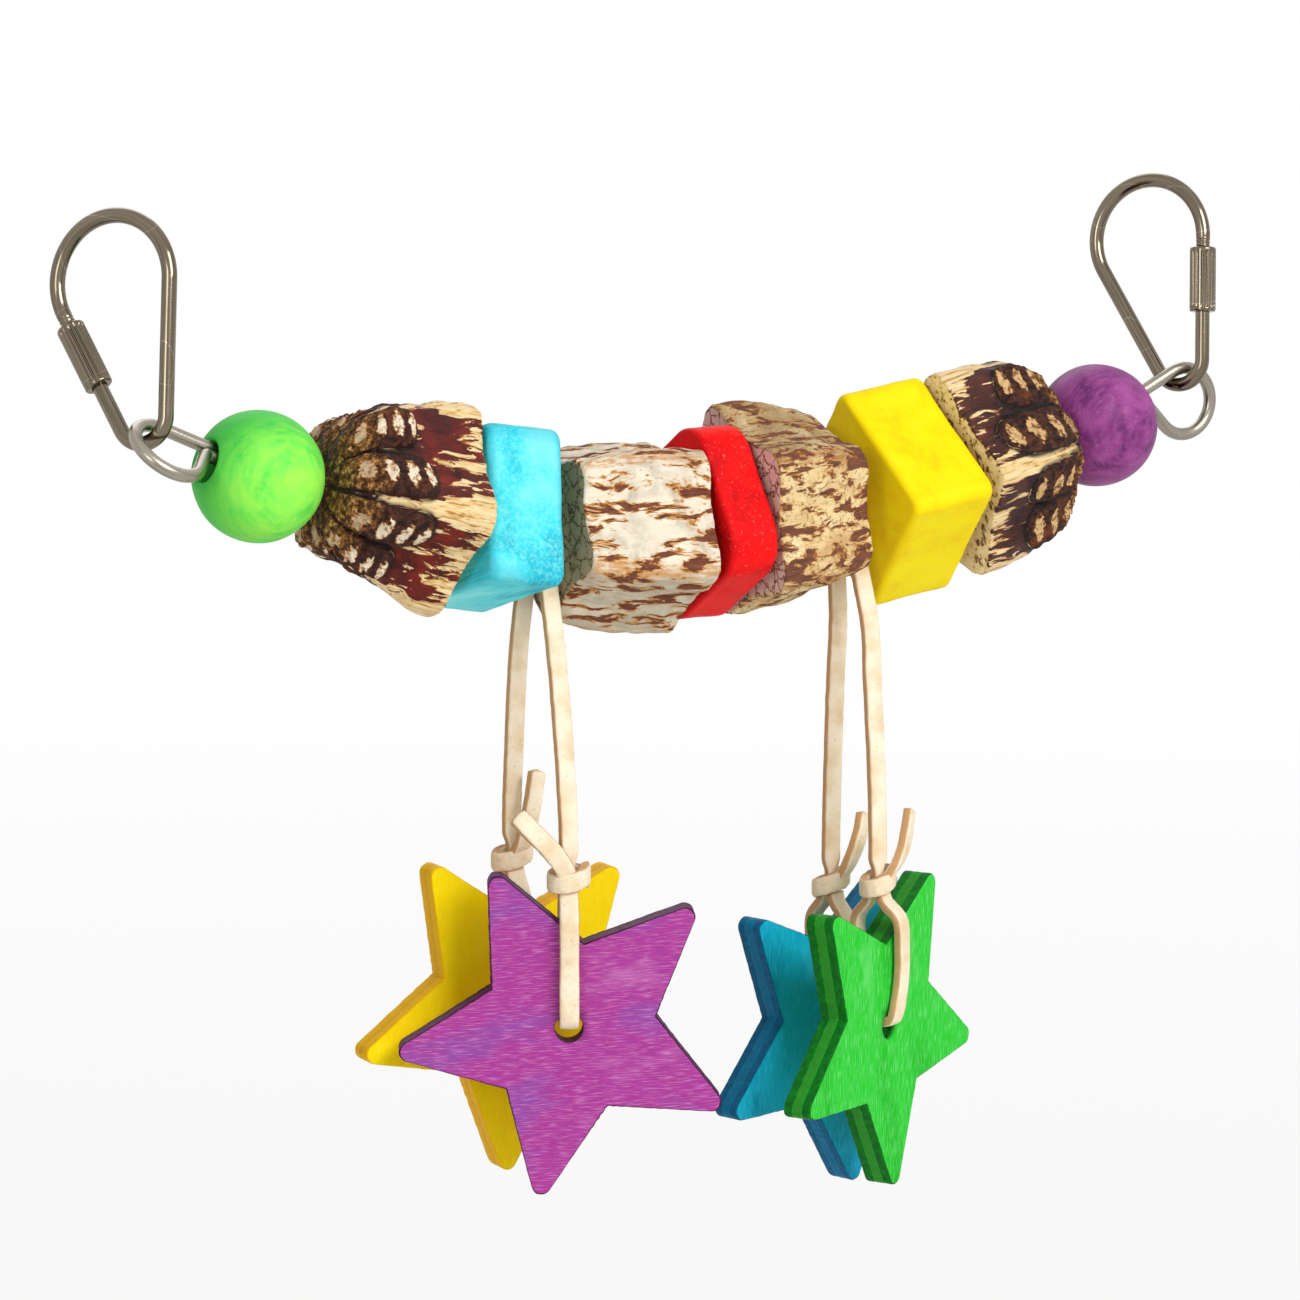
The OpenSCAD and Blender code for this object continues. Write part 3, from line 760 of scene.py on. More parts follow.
        # Lips of the lobes, and the sawn end
        lip_level = add(tree, "Math", operation="MULTIPLY", links={0: marks["rim"], 1: cloud})
        lip = add(tree, "MapRange", values={"From Min": 0.42, "From Max": 0.56}, links={"Value": lip_level})
        lipped = add(tree, "Mix", data_type="RGBA", values={7: "#e6cb98"}, links={0: lip, 6: scarred})
        sawn = add(
            tree, "ValToRGB", links={"Fac": streak},
            stops=[(0.4, "#6a4626"), (0.45, "#f0d49c"), (0.6, "#fbecc6")],
        )
        whole = add(tree, "Mix", data_type="RGBA", links={0: marks["cut"], 6: lipped, 7: sawn})
        rough = add(tree, "MapRange", values={"To Min": 0.4, "To Max": 0.8}, links={"Value": on_lobe})
        height = add(tree, "Math", operation="MULTIPLY_ADD", values={1: 0.9}, links={0: scale, 2: thread})
        bump = add(tree, "Bump", values={"Strength": 0.7, "Distance": 0.0004}, links={"Height": height})
        return add(
            tree, "BsdfPrincipled", values={"Specular IOR Level": 0.2},
            links={"Base Color": whole, "Roughness": rough, "Normal": bump},
        )


@dataclass(frozen=True)
class CutHusk(Finish):
    """Pod core sawn at both ends: pale dry faces with torn brown flakes or fine mottling, one
    face greyer, straw ridges, and a sawn face of its own colour. The greyer face is weathering
    where it faces up, and painted shade where it faces down."""

    pale: str = "#eadfca"
    grey: str = "#c8beaa"
    brown: str = "#5e3229"
    amber: str = "#ca8a3c"
    sawn: str = "#b09a78"
    vein: str = "#66543a"
    # grey of one face: weathering on the mottled core's top, painted shade on the pale core's lower face
    weathered_and_shaded: str = "#bfb59e"
    stretch: tuple[float, float, float] = (0.13, 0.46, 0.46)
    brown_from: float = 0.56
    edge_brown: float = 0.0
    grain_line: float = 0.3
    speck: float = 0.0
    bright: str = "#f2e6cf"

    def wire(self, tree: bpy.types.NodeTree) -> bpy.types.Node:
        """Brown starts where stretched noise passes a level, with an amber fringe round it.

        Args:
            tree: node tree of the material.

        Returns:
            The shader.
        """
        grain = add(tree, "Attribute", attribute_name="grain").outputs["Vector"]
        names = ("ridge", "weather_and_shade", "open_end", "cut")
        marks = {k: add(tree, "Attribute", attribute_name=k).outputs["Fac"] for k in names}
        # Dry faces, greyer on one side (weathering on a top face, painted shade on a lower one), with grain
        # lines and specks
        along = add(tree, "Mapping", values={"Scale": self.stretch}, links={"Vector": grain})
        streak = add(
            tree, "TexNoise", values={"Scale": 1.0, "Detail": 7.0, "Roughness": 0.66, "Distortion": 0.5},
            links={"Vector": along},
        )
        rim = add(
            tree, "Math", operation="MULTIPLY_ADD", values={1: self.edge_brown},
            links={0: marks["open_end"], 2: streak},
        )
        level = add(
            tree, "Math", operation="MULTIPLY_ADD", values={1: self.edge_brown * 0.8},
            links={0: marks["ridge"], 2: rim},
        )
        cloud = add(
            tree, "TexNoise", values={"Scale": 0.2, "Detail": 5.0, "Roughness": 0.6, "Distortion": 0.4},
            links={"Vector": grain},
        )
        bark = add(
            tree, "ValToRGB", links={"Fac": cloud},
            stops=[(0.36, self.grey), (0.52, self.pale), (0.7, self.bright)],
        )
        patchy = add(
            tree, "MapRange", values={"From Min": 0.3, "From Max": 0.65, "To Min": 1.0, "To Max": 0.35},
            links={"Value": cloud},
        )
        # weathering and painted shade: the greyer face, in patches
        weather_and_shade_share = add(tree, "Math", operation="MULTIPLY", links={0: marks["weather_and_shade"], 1: patchy})
        aged = add(tree, "Mix", data_type="RGBA", values={7: self.weathered_and_shaded}, links={0: weather_and_shade_share, 6: bark})
        fine = add(tree, "Mapping", values={"Scale": (0.25, 2.0, 2.0)}, links={"Vector": grain})
        thread = add(
            tree, "TexNoise", values={"Scale": 1.0, "Detail": 5.0, "Roughness": 0.65},
            links={"Vector": fine},
        )
        lines = add(
            tree, "MapRange",
            values={"From Min": 0.42, "From Max": 0.3, "To Min": 0.0, "To Max": self.grain_line},
            links={"Value": thread},
        )
        lined = add(tree, "Mix", data_type="RGBA", values={7: self.amber}, links={0: lines, 6: aged})
        dots = add(
            tree, "TexNoise", values={"Scale": 1.5, "Detail": 4.0, "Roughness": 0.7},
            links={"Vector": grain},
        )
        dot_share = add(
            tree, "MapRange",
            values={"From Min": 0.54, "From Max": 0.66, "To Min": 0.0, "To Max": self.speck},
            links={"Value": dots},
        )
        dotted = add(tree, "Mix", data_type="RGBA", values={7: "#8a5c30"}, links={0: dot_share, 6: lined})
        # Straw ridges, and torn brown flakes with an amber fringe
        crest = add(tree, "Math", operation="MULTIPLY", links={0: marks["ridge"], 1: thread})
        crest_line = add(
            tree, "MapRange", values={"From Min": 0.4, "From Max": 0.58, "To Min": 0.0, "To Max": 0.75},
            links={"Value": crest},
        )
        crested = add(tree, "Mix", data_type="RGBA", values={7: self.amber}, links={0: crest_line, 6: dotted})
        fringe = add(
            tree, "MapRange",
            values={"From Min": self.brown_from - 0.045, "From Max": self.brown_from - 0.012},
            links={"Value": level},
        )
        torn = add(
            tree, "MapRange", values={"From Min": self.brown_from, "From Max": self.brown_from + 0.015},
            links={"Value": level},
        )
        fringed = add(tree, "Mix", data_type="RGBA", values={7: self.amber}, links={0: fringe, 6: crested})
        dark = add(tree, "ValToRGB", links={"Fac": thread}, stops=[(0.35, self.brown), (0.65, "#84503c")])
        face = add(tree, "Mix", data_type="RGBA", links={0: torn, 6: fringed, 7: dark})
        # Sawn ends with veins
        pith = add(
            tree, "TexNoise", values={"Scale": 0.9, "Detail": 4.0, "Distortion": 1.2},
            links={"Vector": grain},
        )
        cells = add(
            tree, "VectorMath", operation="MULTIPLY_ADD", values={1: (1.6, 1.6, 1.6)},
            links={0: pith.outputs["Color"], 2: grain},
        )
        veins = add(
            tree, "TexVoronoi", feature="DISTANCE_TO_EDGE", values={"Scale": 0.42},
            links={"Vector": cells},
        )
        vein_line = add(
            tree, "MapRange", values={"From Min": 0.02, "From Max": 0.07, "To Min": 1.0, "To Max": 0.0},
            links={"Value": veins},
        )
        pulp = add(tree, "Mix", data_type="RGBA", values={6: self.sawn, 7: self.vein}, links={0: vein_line})
        whole = add(tree, "Mix", data_type="RGBA", links={0: marks["cut"], 6: face, 7: pulp})
        height = add(tree, "Math", operation="MULTIPLY_ADD", values={1: -0.8}, links={0: torn, 2: thread})
        bump = add(tree, "Bump", values={"Strength": 0.6, "Distance": 0.0003}, links={"Height": height})
        return add(
            tree, "BsdfPrincipled", values={"Roughness": 0.75, "Specular IOR Level": 0.15},
            links={"Base Color": whole, "Normal": bump},
        )


# The swing's own frame


def joint_of(body: str) -> tuple[Array, Array]:
    """Place in millimetres, and axis, of the joint that carries a body."""
    joint = next(j for j in frame["joints"] if j["child"] == body)
    return np.array(joint["pos_m"]) / MM, np.array(joint["axis"])


def slope_of(body: str) -> float:
    """Slope of the wire where it carries a body, to a hundredth of a degree."""
    x, _, z = joint_of(body)[1]
    return round(float(np.degrees(np.arctan2(z, x))), 2)


@dataclass(frozen=True)
class WireArc:
    """The bend of the wire, in the plane of the swing."""

    length: float = 172.89
    end_slope: float = 20.0
    wire_d: float = 2.0
    rest_gap: float = 0.2

    @property
    def radius(self) -> float:
        """Radius of the bend, to a micron: its length over the angle that it turns."""
        return round(self.length / (2 * float(np.radians(self.end_slope))), 3)

    @property
    def middle(self) -> Array:
        """Middle of the bend, to a micron: square to the wire above the left lace's joint."""
        at, (x, _, z) = joint_of("purple_strand")
        return np.round(at + self.radius * np.array([-z, 0, x]), 3)

    def place(self, local: Array, slope: float, hang: float) -> Array:
        """Carry points of a piece to its place on the wire.

        Args:
            local: points with X along the wire and Z up, from the piece's bore.
            slope: slope of the wire there, in degrees.
            hang: how far the piece hangs below the wire's middle.

        Returns:
            Points in the swing's frame.
        """
        lowered = local + np.array([0, 0, -self.radius - hang])
        return lowered @ turn("y", -slope).T + self.middle

    def hang(self, bore: float, length: float) -> float:
        """How far a bored piece hangs below the wire, less the bend inside it and a small gap."""
        return (bore - self.wire_d) / 2 - length**2 / (8 * self.radius) - self.rest_gap

    def at(self, slope: float) -> Array:
        """Point of the wire where it has a slope."""
        return self.place(np.zeros((1, 3)), slope, 0.0)[0]


ARC = WireArc()


class Hand(Enum):
    """Which end of the swing, and which leg of its link opens."""

    LEFT = -1
    RIGHT = 1


def finish_piece(
    piece: bpy.types.Object, body: str, slot: str, material: bpy.types.Material, *nodes: str
) -> bpy.types.Object:
    """Dress a piece and hand it to its body.

    Args:
        piece: the new object.
        body: the body that it rides on.
        slot: the material slot of the record; not used.
        material: its finish.
        nodes: the solids that it stands for.

    Returns:
        The piece.
    """
    piece.data.materials.append(material)
    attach(piece, body)
    if nodes:
        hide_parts(*nodes)
    LOG.info("%s: %d faces on %s", piece.name, len(piece.data.polygons), body)
    return piece


# Links and wire


@dataclass
class QuickLink:
    """Pear-shaped screw link with its sleeve nut."""

    hand: Hand
    x: float
    turned: float
    finish: bpy.types.Material
    lean: float = 22.0
    slant: float = 1.5
    wire_d: float = 2.3
    crown_r: float = 9.5
    bow_r: float = 4.0
    reach: float = 20.5
    gap_from: float = 3.0
    gap: float = 3.5
    sleeve_d: float = 4.2
    sleeve_len: float = 10.4
    sleeve_from: float = 1.8
    flutes: int = 16
    flute_depth: float = 0.25
    sleeve_play: float = 0.08
    sleeve_edge: float = 0.35
    rim: tuple[float, float] = (0.55, 0.85)
    thread_pitch: float = 0.6
    thread_depth: float = 0.1
    thread_fade: tuple[float, float] = (2.4, 3.0)

    @property
    def leg_angle(self) -> float:
        """Lean of the legs, at which a line touches both the crown and the bow."""
        return float(np.arcsin((self.crown_r - self.bow_r) / self.reach))

    def hung(self, flat: Array) -> Array:
        """Carry points of the link's own plane to where it hangs on the bar.

        Args:
            flat: points with X and Y in the link's plane, from the crown's middle.

        Returns:
            Points in the swing's frame.
        """
        stood = flat @ turn("x", 90).T - np.array([0, 0, self.crown_r - self.wire_d / 2])
        turned = turn("x", -self.lean) @ turn("y", -self.slant) @ turn("z", -self.turned)
        return stood @ turned.T + np.array([self.x, 0, 0])

    def leg(self, side: int) -> tuple[Array, Array]:
        """Top and foot of one leg in the link's plane.

        Args:
            side: -1 for the left leg and 1 for the right one.

        Returns:
            The leg's highest point, on the crown, and its lowest, on the bow.
        """
        c, s = np.cos(self.leg_angle), np.sin(self.leg_angle)
        out = np.array([side * c, -s, 0])
        return self.crown_r * out, np.array([0, -self.reach, 0]) + self.bow_r * out

    def outline(self) -> tuple[Array, Array]:
        """Path of the wire from one side of its opening round to the other.

        Straight legs touch the round crown and the round bow. Near the opening the points are
        close together, so that the screw thread can be cut there.

        Returns:
            Path points in the link's plane, and the distance of each from the nearer cut end.
        """
        side = self.hand.value
        top, foot = self.leg(side)
        other_top, other_foot = self.leg(-side)
        down = unit(foot - top)
        upper = top + down * self.gap_from
        lower = top + down * (self.gap_from + self.gap)
        steps = np.linspace(0, 1, 70)[:, None]
        crown_a = np.linspace(np.pi + self.leg_angle, -self.leg_angle, 90)
        bow_a = np.linspace(-self.leg_angle, -np.pi + self.leg_angle, 44)
        flip = np.array([-side, 1, 1])
        crown = self.crown_r * grid(np.cos(crown_a), np.sin(crown_a), 0) * flip
        bow = self.bow_r * grid(np.cos(bow_a), np.sin(bow_a), 0) * flip + np.array([0, -self.reach, 0])
        path = np.concatenate([
            upper + (top - upper) * steps[:-1], crown, other_top + (other_foot - other_top) * steps[1:-1],
            bow, foot + (lower - foot) * np.linspace(0, 1, 150)[1:, None],
        ])
        run = distance(path)
        return path, np.minimum(run, run[-1] - run)

    def build_wire(self) -> bpy.types.Object:
        """Round wire carried along the outline, with a screw thread cut near the opening.

        The radius drops by a triangle wave of distance plus turn, fading out past the nut.

        Returns:
            The wire of the link.
        """
        path, from_cut = self.outline()
        a = np.arange(40) * 2 * np.pi / 40
        phase = (from_cut[:, None] / self.thread_pitch + a[None] / (2 * np.pi)) % 1
        fade = 1 - ease(from_cut, *self.thread_fade)[:, None]
        radius = self.wire_d / 2 - self.thread_depth * np.abs(2 * phase - 1) * fade
        flat, run = sweep(path, np.array([0.0, 0, 1]), radius * np.cos(a), radius * np.sin(a), round_end=0.35)
        grain = grid(run[:, None], self.wire_d / 2 * np.cos(a), self.wire_d / 2 * np.sin(a))
        side = self.hand.name.lower()
        made = grid_object(f"{side}_link_wire", self.hung(flat), {"grain": grain})
        return finish_piece(made, f"{side}_link", "nickel_plate", self.finish, f"{side}_quick_link")

    def build_sleeve(self) -> bpy.types.Object:
        """Fluted nut: a bored solid whose side dips in a row of round flutes.

        The radius drops by the flute depth times a wave, which is the cosine of the angle times
        the number of flutes, cut flat on top of the ribs. Both ends keep a plain rim.

        Returns:
            The sleeve nut.
        """
        side = self.hand.value
        top, foot = self.leg(side)
        down = unit(foot - top)
        bore = self.wire_d / 2 + self.sleeve_play
        x, share, shift, _ = collar(self.sleeve_len, bore, self.sleeve_edge, faces=5, sides=40)
        a = np.linspace(0, 2 * np.pi, 16 * self.flutes, endpoint=False)
        wave = np.maximum(np.cos(self.flutes * a), -0.2) * 0.5 + 0.1
        band = ease(self.sleeve_len / 2 - np.abs(x), *self.rim)
        radius = share * (self.sleeve_d / 2 - self.flute_depth * 1.5 * wave[:, None] * band) + shift
        local = grid(x, radius * np.cos(a)[:, None], radius * np.sin(a)[:, None])
        middle = top + down * (self.sleeve_from + self.sleeve_len / 2)
        square = np.stack([down, np.array([-down[1], down[0], 0]), np.array([0, 0, 1.0])])
        name = self.hand.name.lower()
        made = grid_object(f"{name}_sleeve", self.hung(local @ square + middle), {"grain": local}, ring=True)
        return finish_piece(made, f"{name}_nut", "nickel_plate", self.finish, f"{name}_sleeve_nut")

    def build(self) -> None:
        """Make the link's wire and its nut."""
        self.build_wire()
        self.build_sleeve()


@dataclass
class SwingWire:
    """Bent wire with an eye at each end, its ends tucked back into the beads."""

    finish: bpy.types.Material
    wire_d: float = 2.0
    eye_r: float = 5.35
    neck: float = 7.1
    back_gap: float = 2.1
    end_len: float = 4.0
    left_roll: float = 55.0
    soften: int = 4

    def eye_offs(self) -> tuple[float, float]:
        """How far the middle of each eye lies below its neck's line, so that their tops are level.

        The left eye is rolled about its neck. Its top is where its circle rises most, which is at
        the angle whose tangent is the rise across the neck over the rise along it.

        Returns:
            The distance for the left eye and for the right one.
        """
        slope, roll = np.radians([ARC.end_slope, self.left_roll])
        across, along = np.cos(roll) * np.cos(slope), np.sin(slope)
        left = self.eye_r * np.sin(np.arctan2(across, along))
        neck_drop = self.eye_r * np.hypot(across, along) - left * across
        return left, (self.eye_r - neck_drop) / np.cos(slope)

    def eye(self, off: float) -> Array:
        """Path of one eye in its own plane, from the neck: out, round, and back beside the wire.

        Both straight runs touch the eye's circle.

        Args:
            off: how far the circle's middle lies below the neck's line.

        Returns:
            Path points.
        """
        middle, back = np.array([self.neck, -off]), np.array([0.0, -self.back_gap])
        reach, back_reach = np.linalg.norm(middle), np.linalg.norm(middle - back)
        out_a = np.arctan2(middle[1], middle[0]) + np.arcsin(self.eye_r / reach)
        back_a = np.arctan2(middle[1] - back[1], middle[0]) - np.arcsin(self.eye_r / back_reach)
        out_at = np.sqrt(reach**2 - self.eye_r**2) * np.array([np.cos(out_a), np.sin(out_a)])
        back_at = back + np.sqrt(back_reach**2 - self.eye_r**2) * np.array([np.cos(back_a), np.sin(back_a)])
        a = np.linspace(out_a + np.pi / 2, back_a - np.pi / 2, 90)
        circle = middle + self.eye_r * np.stack([np.cos(a), np.sin(a)], -1)
        steps = np.linspace(0, 1, 20)[:, None]
        flat = np.concatenate([
            out_at * steps[:-1], circle, back_at + (back - back_at) * steps[1:],
            back - np.array([self.end_len, 0]) * steps[1:],
        ])
        return grid(*flat.T, 0)

    def build(self) -> bpy.types.Object:
        """Carry a round section along the left eye, the long bend and the right eye.

        The path is spaced evenly, and its corners are softened by a short weighted mean. Past the
        left neck the section turns from that eye's plane to the plane of the swing.

        Returns:
            The wire.
        """
        right_turn = turn("y", -ARC.end_slope) @ turn("x", 90)
        left_turn = turn("y", -ARC.end_slope) @ turn("x", -self.left_roll) @ turn("x", 90)
        left_turn = np.diag([-1.0, 1, 1]) @ left_turn
        left_off, right_off = self.eye_offs()
        left = self.eye(left_off) @ left_turn.T + ARC.at(-ARC.end_slope)
        right = self.eye(right_off) @ right_turn.T + ARC.at(ARC.end_slope)
        s = np.radians(np.linspace(-ARC.end_slope, ARC.end_slope, 240))
        arc = ARC.middle + ARC.radius * grid(np.sin(s), 0, -np.cos(s))
        path = np.concatenate([left[::-1], arc[1:-1], right])
        length = distance(path)
        even = np.linspace(0, length[-1], 900)
        path = np.stack([np.interp(even, length, path[:, k]) for k in range(3)], -1)
        weights = np.hanning(2 * self.soften + 1)
        weights = weights / weights.sum()
        padded = np.pad(path, ((self.soften, self.soften), (0, 0)), "reflect", reflect_type="odd")
        path = np.stack([np.convolve(padded[:, k], weights, "valid") for k in range(3)], -1)
        own = left_turn @ np.array([0, 0, 1.0])
        neck = length[len(left) - 1]
        mix = ease(even, neck - 4, neck + 6)[:, None]
        across = unit((1 - mix) * own * np.sign(own[1]) + mix * np.array([0, 1.0, 0]))
        wide, thick = ring_section(self.wire_d / 2, count=32)
        points, run = sweep(path, across, wide, thick, round_end=0.4)
        grain = grid(run[:, None], wide, thick)
        made = grid_object("bent_wire", points, {"grain": grain})
        return finish_piece(made, "wire", "steel_wire", self.finish, "swing_wire")


# Strung pieces


@dataclass
class Bead:
    """Turned round bead with a wide bore."""

    node: str
    slot: str
    finish: bpy.types.Material
    diameter: float = 19.5
    bore: float = 6.4
    lip: float = 0.5

    def build(self) -> bpy.types.Object:
        """Turn a round outline about the bore: the outer circle, a small lip, and the bore wall.

        Returns:
            The bead.
        """
        r, b = self.diameter / 2, self.bore / 2
        mouth = np.arcsin((b + self.lip) / r)
        t = np.linspace(mouth, np.pi - mouth, 110)
        q = np.linspace(0, np.pi / 2, 7)[1:]
        edge_x = r * np.cos(mouth)
        out_x, out_r = -r * np.cos(t), r * np.sin(t)
        lip_x, lip_r = edge_x - self.lip * (1 - np.cos(q)) * 0.9, b + self.lip * (1 - np.sin(q))
        bore_x = np.linspace(lip_x[-1], -lip_x[-1], 12)[1:-1]
        x = np.concatenate([out_x, lip_x, bore_x, -lip_x[::-1]])
        radius = np.concatenate([out_r, lip_r, b + 0 * bore_x, lip_r[::-1]])
        a = np.linspace(0, 2 * np.pi, 160, endpoint=False)[:, None]
        local = grid(x, -radius * np.cos(a), radius * np.sin(a))
        local = local * (1 + 0.006 * wobble(local, wave=16, seed=5))[..., None]
        worn = (1 - ease(radius, b + 0.2, b + 1.6)) + 0 * a
        points = ARC.place(local, slope_of(self.node), ARC.hang(self.bore, self.diameter))
        made = grid_object(f"{self.node}_turned", points, {"grain": local, "worn": worn}, ring=True)
        return finish_piece(made, self.node, self.slot, self.finish, self.node)


@dataclass
class Block:
    """Square block sawn from a dyed strip and tumbled, so that its edges are soft."""

    node: str
    slot: str
    finish: bpy.types.Material
    side: float
    length: float
    corner: float
    roll: float
    edge: float = 1.1
    bore: float = 5.0
    seed: int = 1

    def outer(self, a: Array) -> Array:
        """Radius of a square with rounded corners: the flat side, or the corner's circle.

        Args:
            a: angle from the middle of a side.

        Returns:
            The radius at each angle.
        """
        fold = np.abs((a + np.pi / 4) % (np.pi / 2) - np.pi / 4)
        c, s = np.cos(fold), np.sin(fold)
        h = self.side / 2 - self.corner
        root = np.maximum(((c + s) * h) ** 2 - (2 * h * h - self.corner**2), 0)
        return np.where(self.side / 2 * s / c <= h, self.side / 2 / c, (c + s) * h + np.sqrt(root))

    def build(self) -> bpy.types.Object:
        """Carry the rounded square round the bore, with soft ends and a little unevenness.

        Returns:
            The block.
        """
        x, share, shift, _ = collar(self.length, self.bore / 2, self.edge, faces=12, sides=40)
        a = np.linspace(0, 2 * np.pi, 360, endpoint=False)
        radius = share * self.outer(a)[:, None] + shift
        own = grid(x, radius * np.cos(a)[:, None], radius * np.sin(a)[:, None])
        outside = np.clip(share, 0, 1) * (1 + 0 * radius)
        own = own * (1 - (0.006 + 0.006 * wobble(own, 11, self.seed)) * outside)[..., None]
        rolled = own @ turn("x", -self.roll).T
        near_corner = ease(self.outer(a), self.side / 2 * 1.22, self.side / 2 * 1.34)[:, None]
        near_end = ease(np.abs(x), self.length / 2 - self.edge * 1.3, self.length / 2)
        worn = np.clip(near_corner * 0.5 + near_end * share**6, 0, 1)
        points = ARC.place(rolled, slope_of(self.node), ARC.hang(self.bore, self.length))
        made = grid_object(f"{self.node}_sawn", points, {"grain": own, "worn": worn}, ring=True)
        return finish_piece(made, self.node, self.slot, self.finish, self.node)


@dataclass
class PodCore:
    """Five-ridged pod core, bored end to end, some with stalk scars on one end."""

    node: str
    slot: str
    finish: bpy.types.Material
    length: float
    bore: float
    roll: float
    taper: tuple[float, float]
    above: float
    scarred: bool = False
    flipped: bool = False
    ridge_r: float = 16.0
    valley_r: float = 12.8
    edge: float = 0.45
    seed: int = 3
    lobe_ends: tuple[float, ...] = (0.58, 0.48, 0.5, 0.52, 0.58, 0.6, 0.55, 0.5, 0.5, 0.6)
    lobe_height: float = 1.9
    trims: tuple[tuple[float, float, float], ...] = ()
    # angle of the greyer face: painted shade where it faces down, weathering where it faces up
    weather_and_shade: float = 180.0
    cream_from: float = 0.72

    def dome(self, u: Array) -> Array:
        """Share of the radius along the core: a domed scarred end, or nearly straight.

        Args:
            u: share of the length from the scarred end.

        Returns:
            The share of the radius at each place.
        """
        if self.scarred:
            return 0.45 + 0.55 * np.sqrt(1 - np.maximum(0, 1 - u / 0.58) ** 2)
        return 0.94 + 0.06 * np.sin(np.pi * u)

    def lobes(self, a: Array, u: Array) -> dict[str, Array]:
        """Finger-like lobes between the ridges, two to a face, with a row of scars on each.

        A lobe's height is a half ellipse across and a rounded end along. Its scars are ovals at
        even steps along it, and its rim is the band round its far end. The crevice between lobes is
        marked for painted shade. Lobes on the back faces are lower.

        Args:
            a: angle from the front ridge, in degrees, as a column.
            u: share of the length from the scarred end, as a row.

        Returns:
            Height, cover, scar, rim and the painted crevice shade, each from 0 to about 1.
        """
        shape = np.broadcast_shapes(a.shape, u.shape)
        height, cover, scar, rim, shade_zone = (np.zeros(shape) for _ in range(5))
        rng = np.random.default_rng(self.seed)
        round_core = grid(u * self.length, 13 * np.cos(np.radians(a)), 13 * np.sin(np.radians(a)))
        ragged = 0.3 * wobble(round_core, 1.3, self.seed + 7)
        for k, reach in enumerate(self.lobe_ends):
            middle = 72 * (k // 2) + 36 + (-17 if k % 2 == 0 else 17) + rng.uniform(-1, 1)
            bend = rng.uniform(-4, 4)
            off = (a - middle - bend * (u - 0.3) + 180) % 360 - 180
            half = 16.6 - 2 * u / reach
            across, t = off / half, u / reach
            cap = np.maximum(0, (t - 0.7) / 0.3)
            inside = 1 - across**2 - cap**2
            steps = t * 4.2 + 0.45 + rng.uniform(-0.15, 0.15)
            full = 0.25 if 2 <= k <= 7 else 1.0
            hump = np.sqrt(np.maximum(inside, 0))
            cover = np.maximum(cover, hump)
            height = np.maximum(height, full * hump * (1 + 0.14 * np.cos(2 * np.pi * steps)))
            row = np.round(steps)
            near = (steps - row - 0.05 * across) / 0.3 + ragged
            wide = (off + rng.uniform(-2, 2)) / (half * rng.uniform(0.5, 0.62)) - ragged
            oval = np.clip(1 - near**2 - wide**2, 0, 1)
            scar = np.maximum(scar, np.where((row >= 1) & (row <= 4), oval, 0))
            rim = np.maximum(rim, np.exp(-((inside - 0.02) / 0.1) ** 2) * ease(t, 0.62, 0.85))
            shade_zone = np.maximum(shade_zone, ease(1 - (across / 1.25) ** 2 - (cap / 1.12) ** 2, 0.0, 0.25))
        # painted shade: the crevice round each lobe, outside its cover
        painted_crevice_shade = shade_zone * (1 - ease(cover, 0.12, 0.5))
        return {"height": height, "cover": cover, "scar": scar, "rim": rim, "painted_crevice_shade": painted_crevice_shade}

    def outer(self, a: Array, x: Array) -> tuple[Array, dict[str, Array]]:
        """Radius of the core, and the marks that its finish reads.

        The radius is a valley plus the ridge height times the cube of the cosine of two and a
        half times the angle, scaled by the dome and the taper, plus lobes and unevenness.

        Args:
            a: angle from the front ridge, in degrees, as a column.
            x: place along the core from its middle, as a row.

        Returns:
            The radius, and the ridge, cover, scar, rim and painted crevice shade, each from 0 to about 1.
        """
        u = x / self.length + 0.5
        grow = self.taper[0] + (self.taper[1] - self.taper[0]) * u
        crest = np.abs(np.cos(np.radians(2.5 * a))) ** 3
        valley = self.valley_r
        if self.scarred:
            valley = valley + (self.ridge_r - valley) * 0.42 * np.maximum(0, 1 - u / 0.62)
        outer = grow * self.dome(u) * (valley + (self.ridge_r - valley) * crest)
        none = np.zeros(np.broadcast_shapes(a.shape, u.shape))
        marks = {"cover": none, "scar": none, "rim": none, "painted_crevice_shade": none}
        ridge = ease(crest, self.cream_from, 0.985) + 0 * u
        if self.scarred:
            marks = self.lobes(a, u)
            grown = 1 - ease(u, 0.5, 0.78)
            outer = outer + self.lobe_height * (marks["height"] - 0.4 * grown) - 0.3 * marks["scar"]
            thin = np.exp(-((((a + 36) % 72 - 36) / 2.6) ** 2)) * ease(u, 0.08, 0.25)
            ridge = ridge * ease(u, 0.48, 0.75) + thin * (1 - ease(u, 0.48, 0.75))
            marks["painted_crevice_shade"] = marks["painted_crevice_shade"] * (1 - thin)
        for place, width, amount in self.trims:
            off = (a - place + 180) % 360 - 180
            outer = outer + amount * np.exp(-((off / width) ** 2)) * (1 - ease(u, 0.35, 0.95))
        ring = grid(x, outer * np.cos(np.radians(a)), outer * np.sin(np.radians(a)))
        stretched = ring * np.array([0.4, 1, 1])
        outer = outer + 0.28 * wobble(ring, 9, self.seed) + 0.12 * wobble(stretched, 2.6, self.seed + 1)
        if self.scarred:
            knobs = 1 - ease(u, 0.12, 0.3)
            outer = outer + 0.16 * marks["height"] * wobble(ring, 1.6, self.seed + 2)
            outer = outer + 0.55 * knobs * wobble(ring, 3.2, self.seed + 5)
        return outer, marks | {"ridge": ridge}

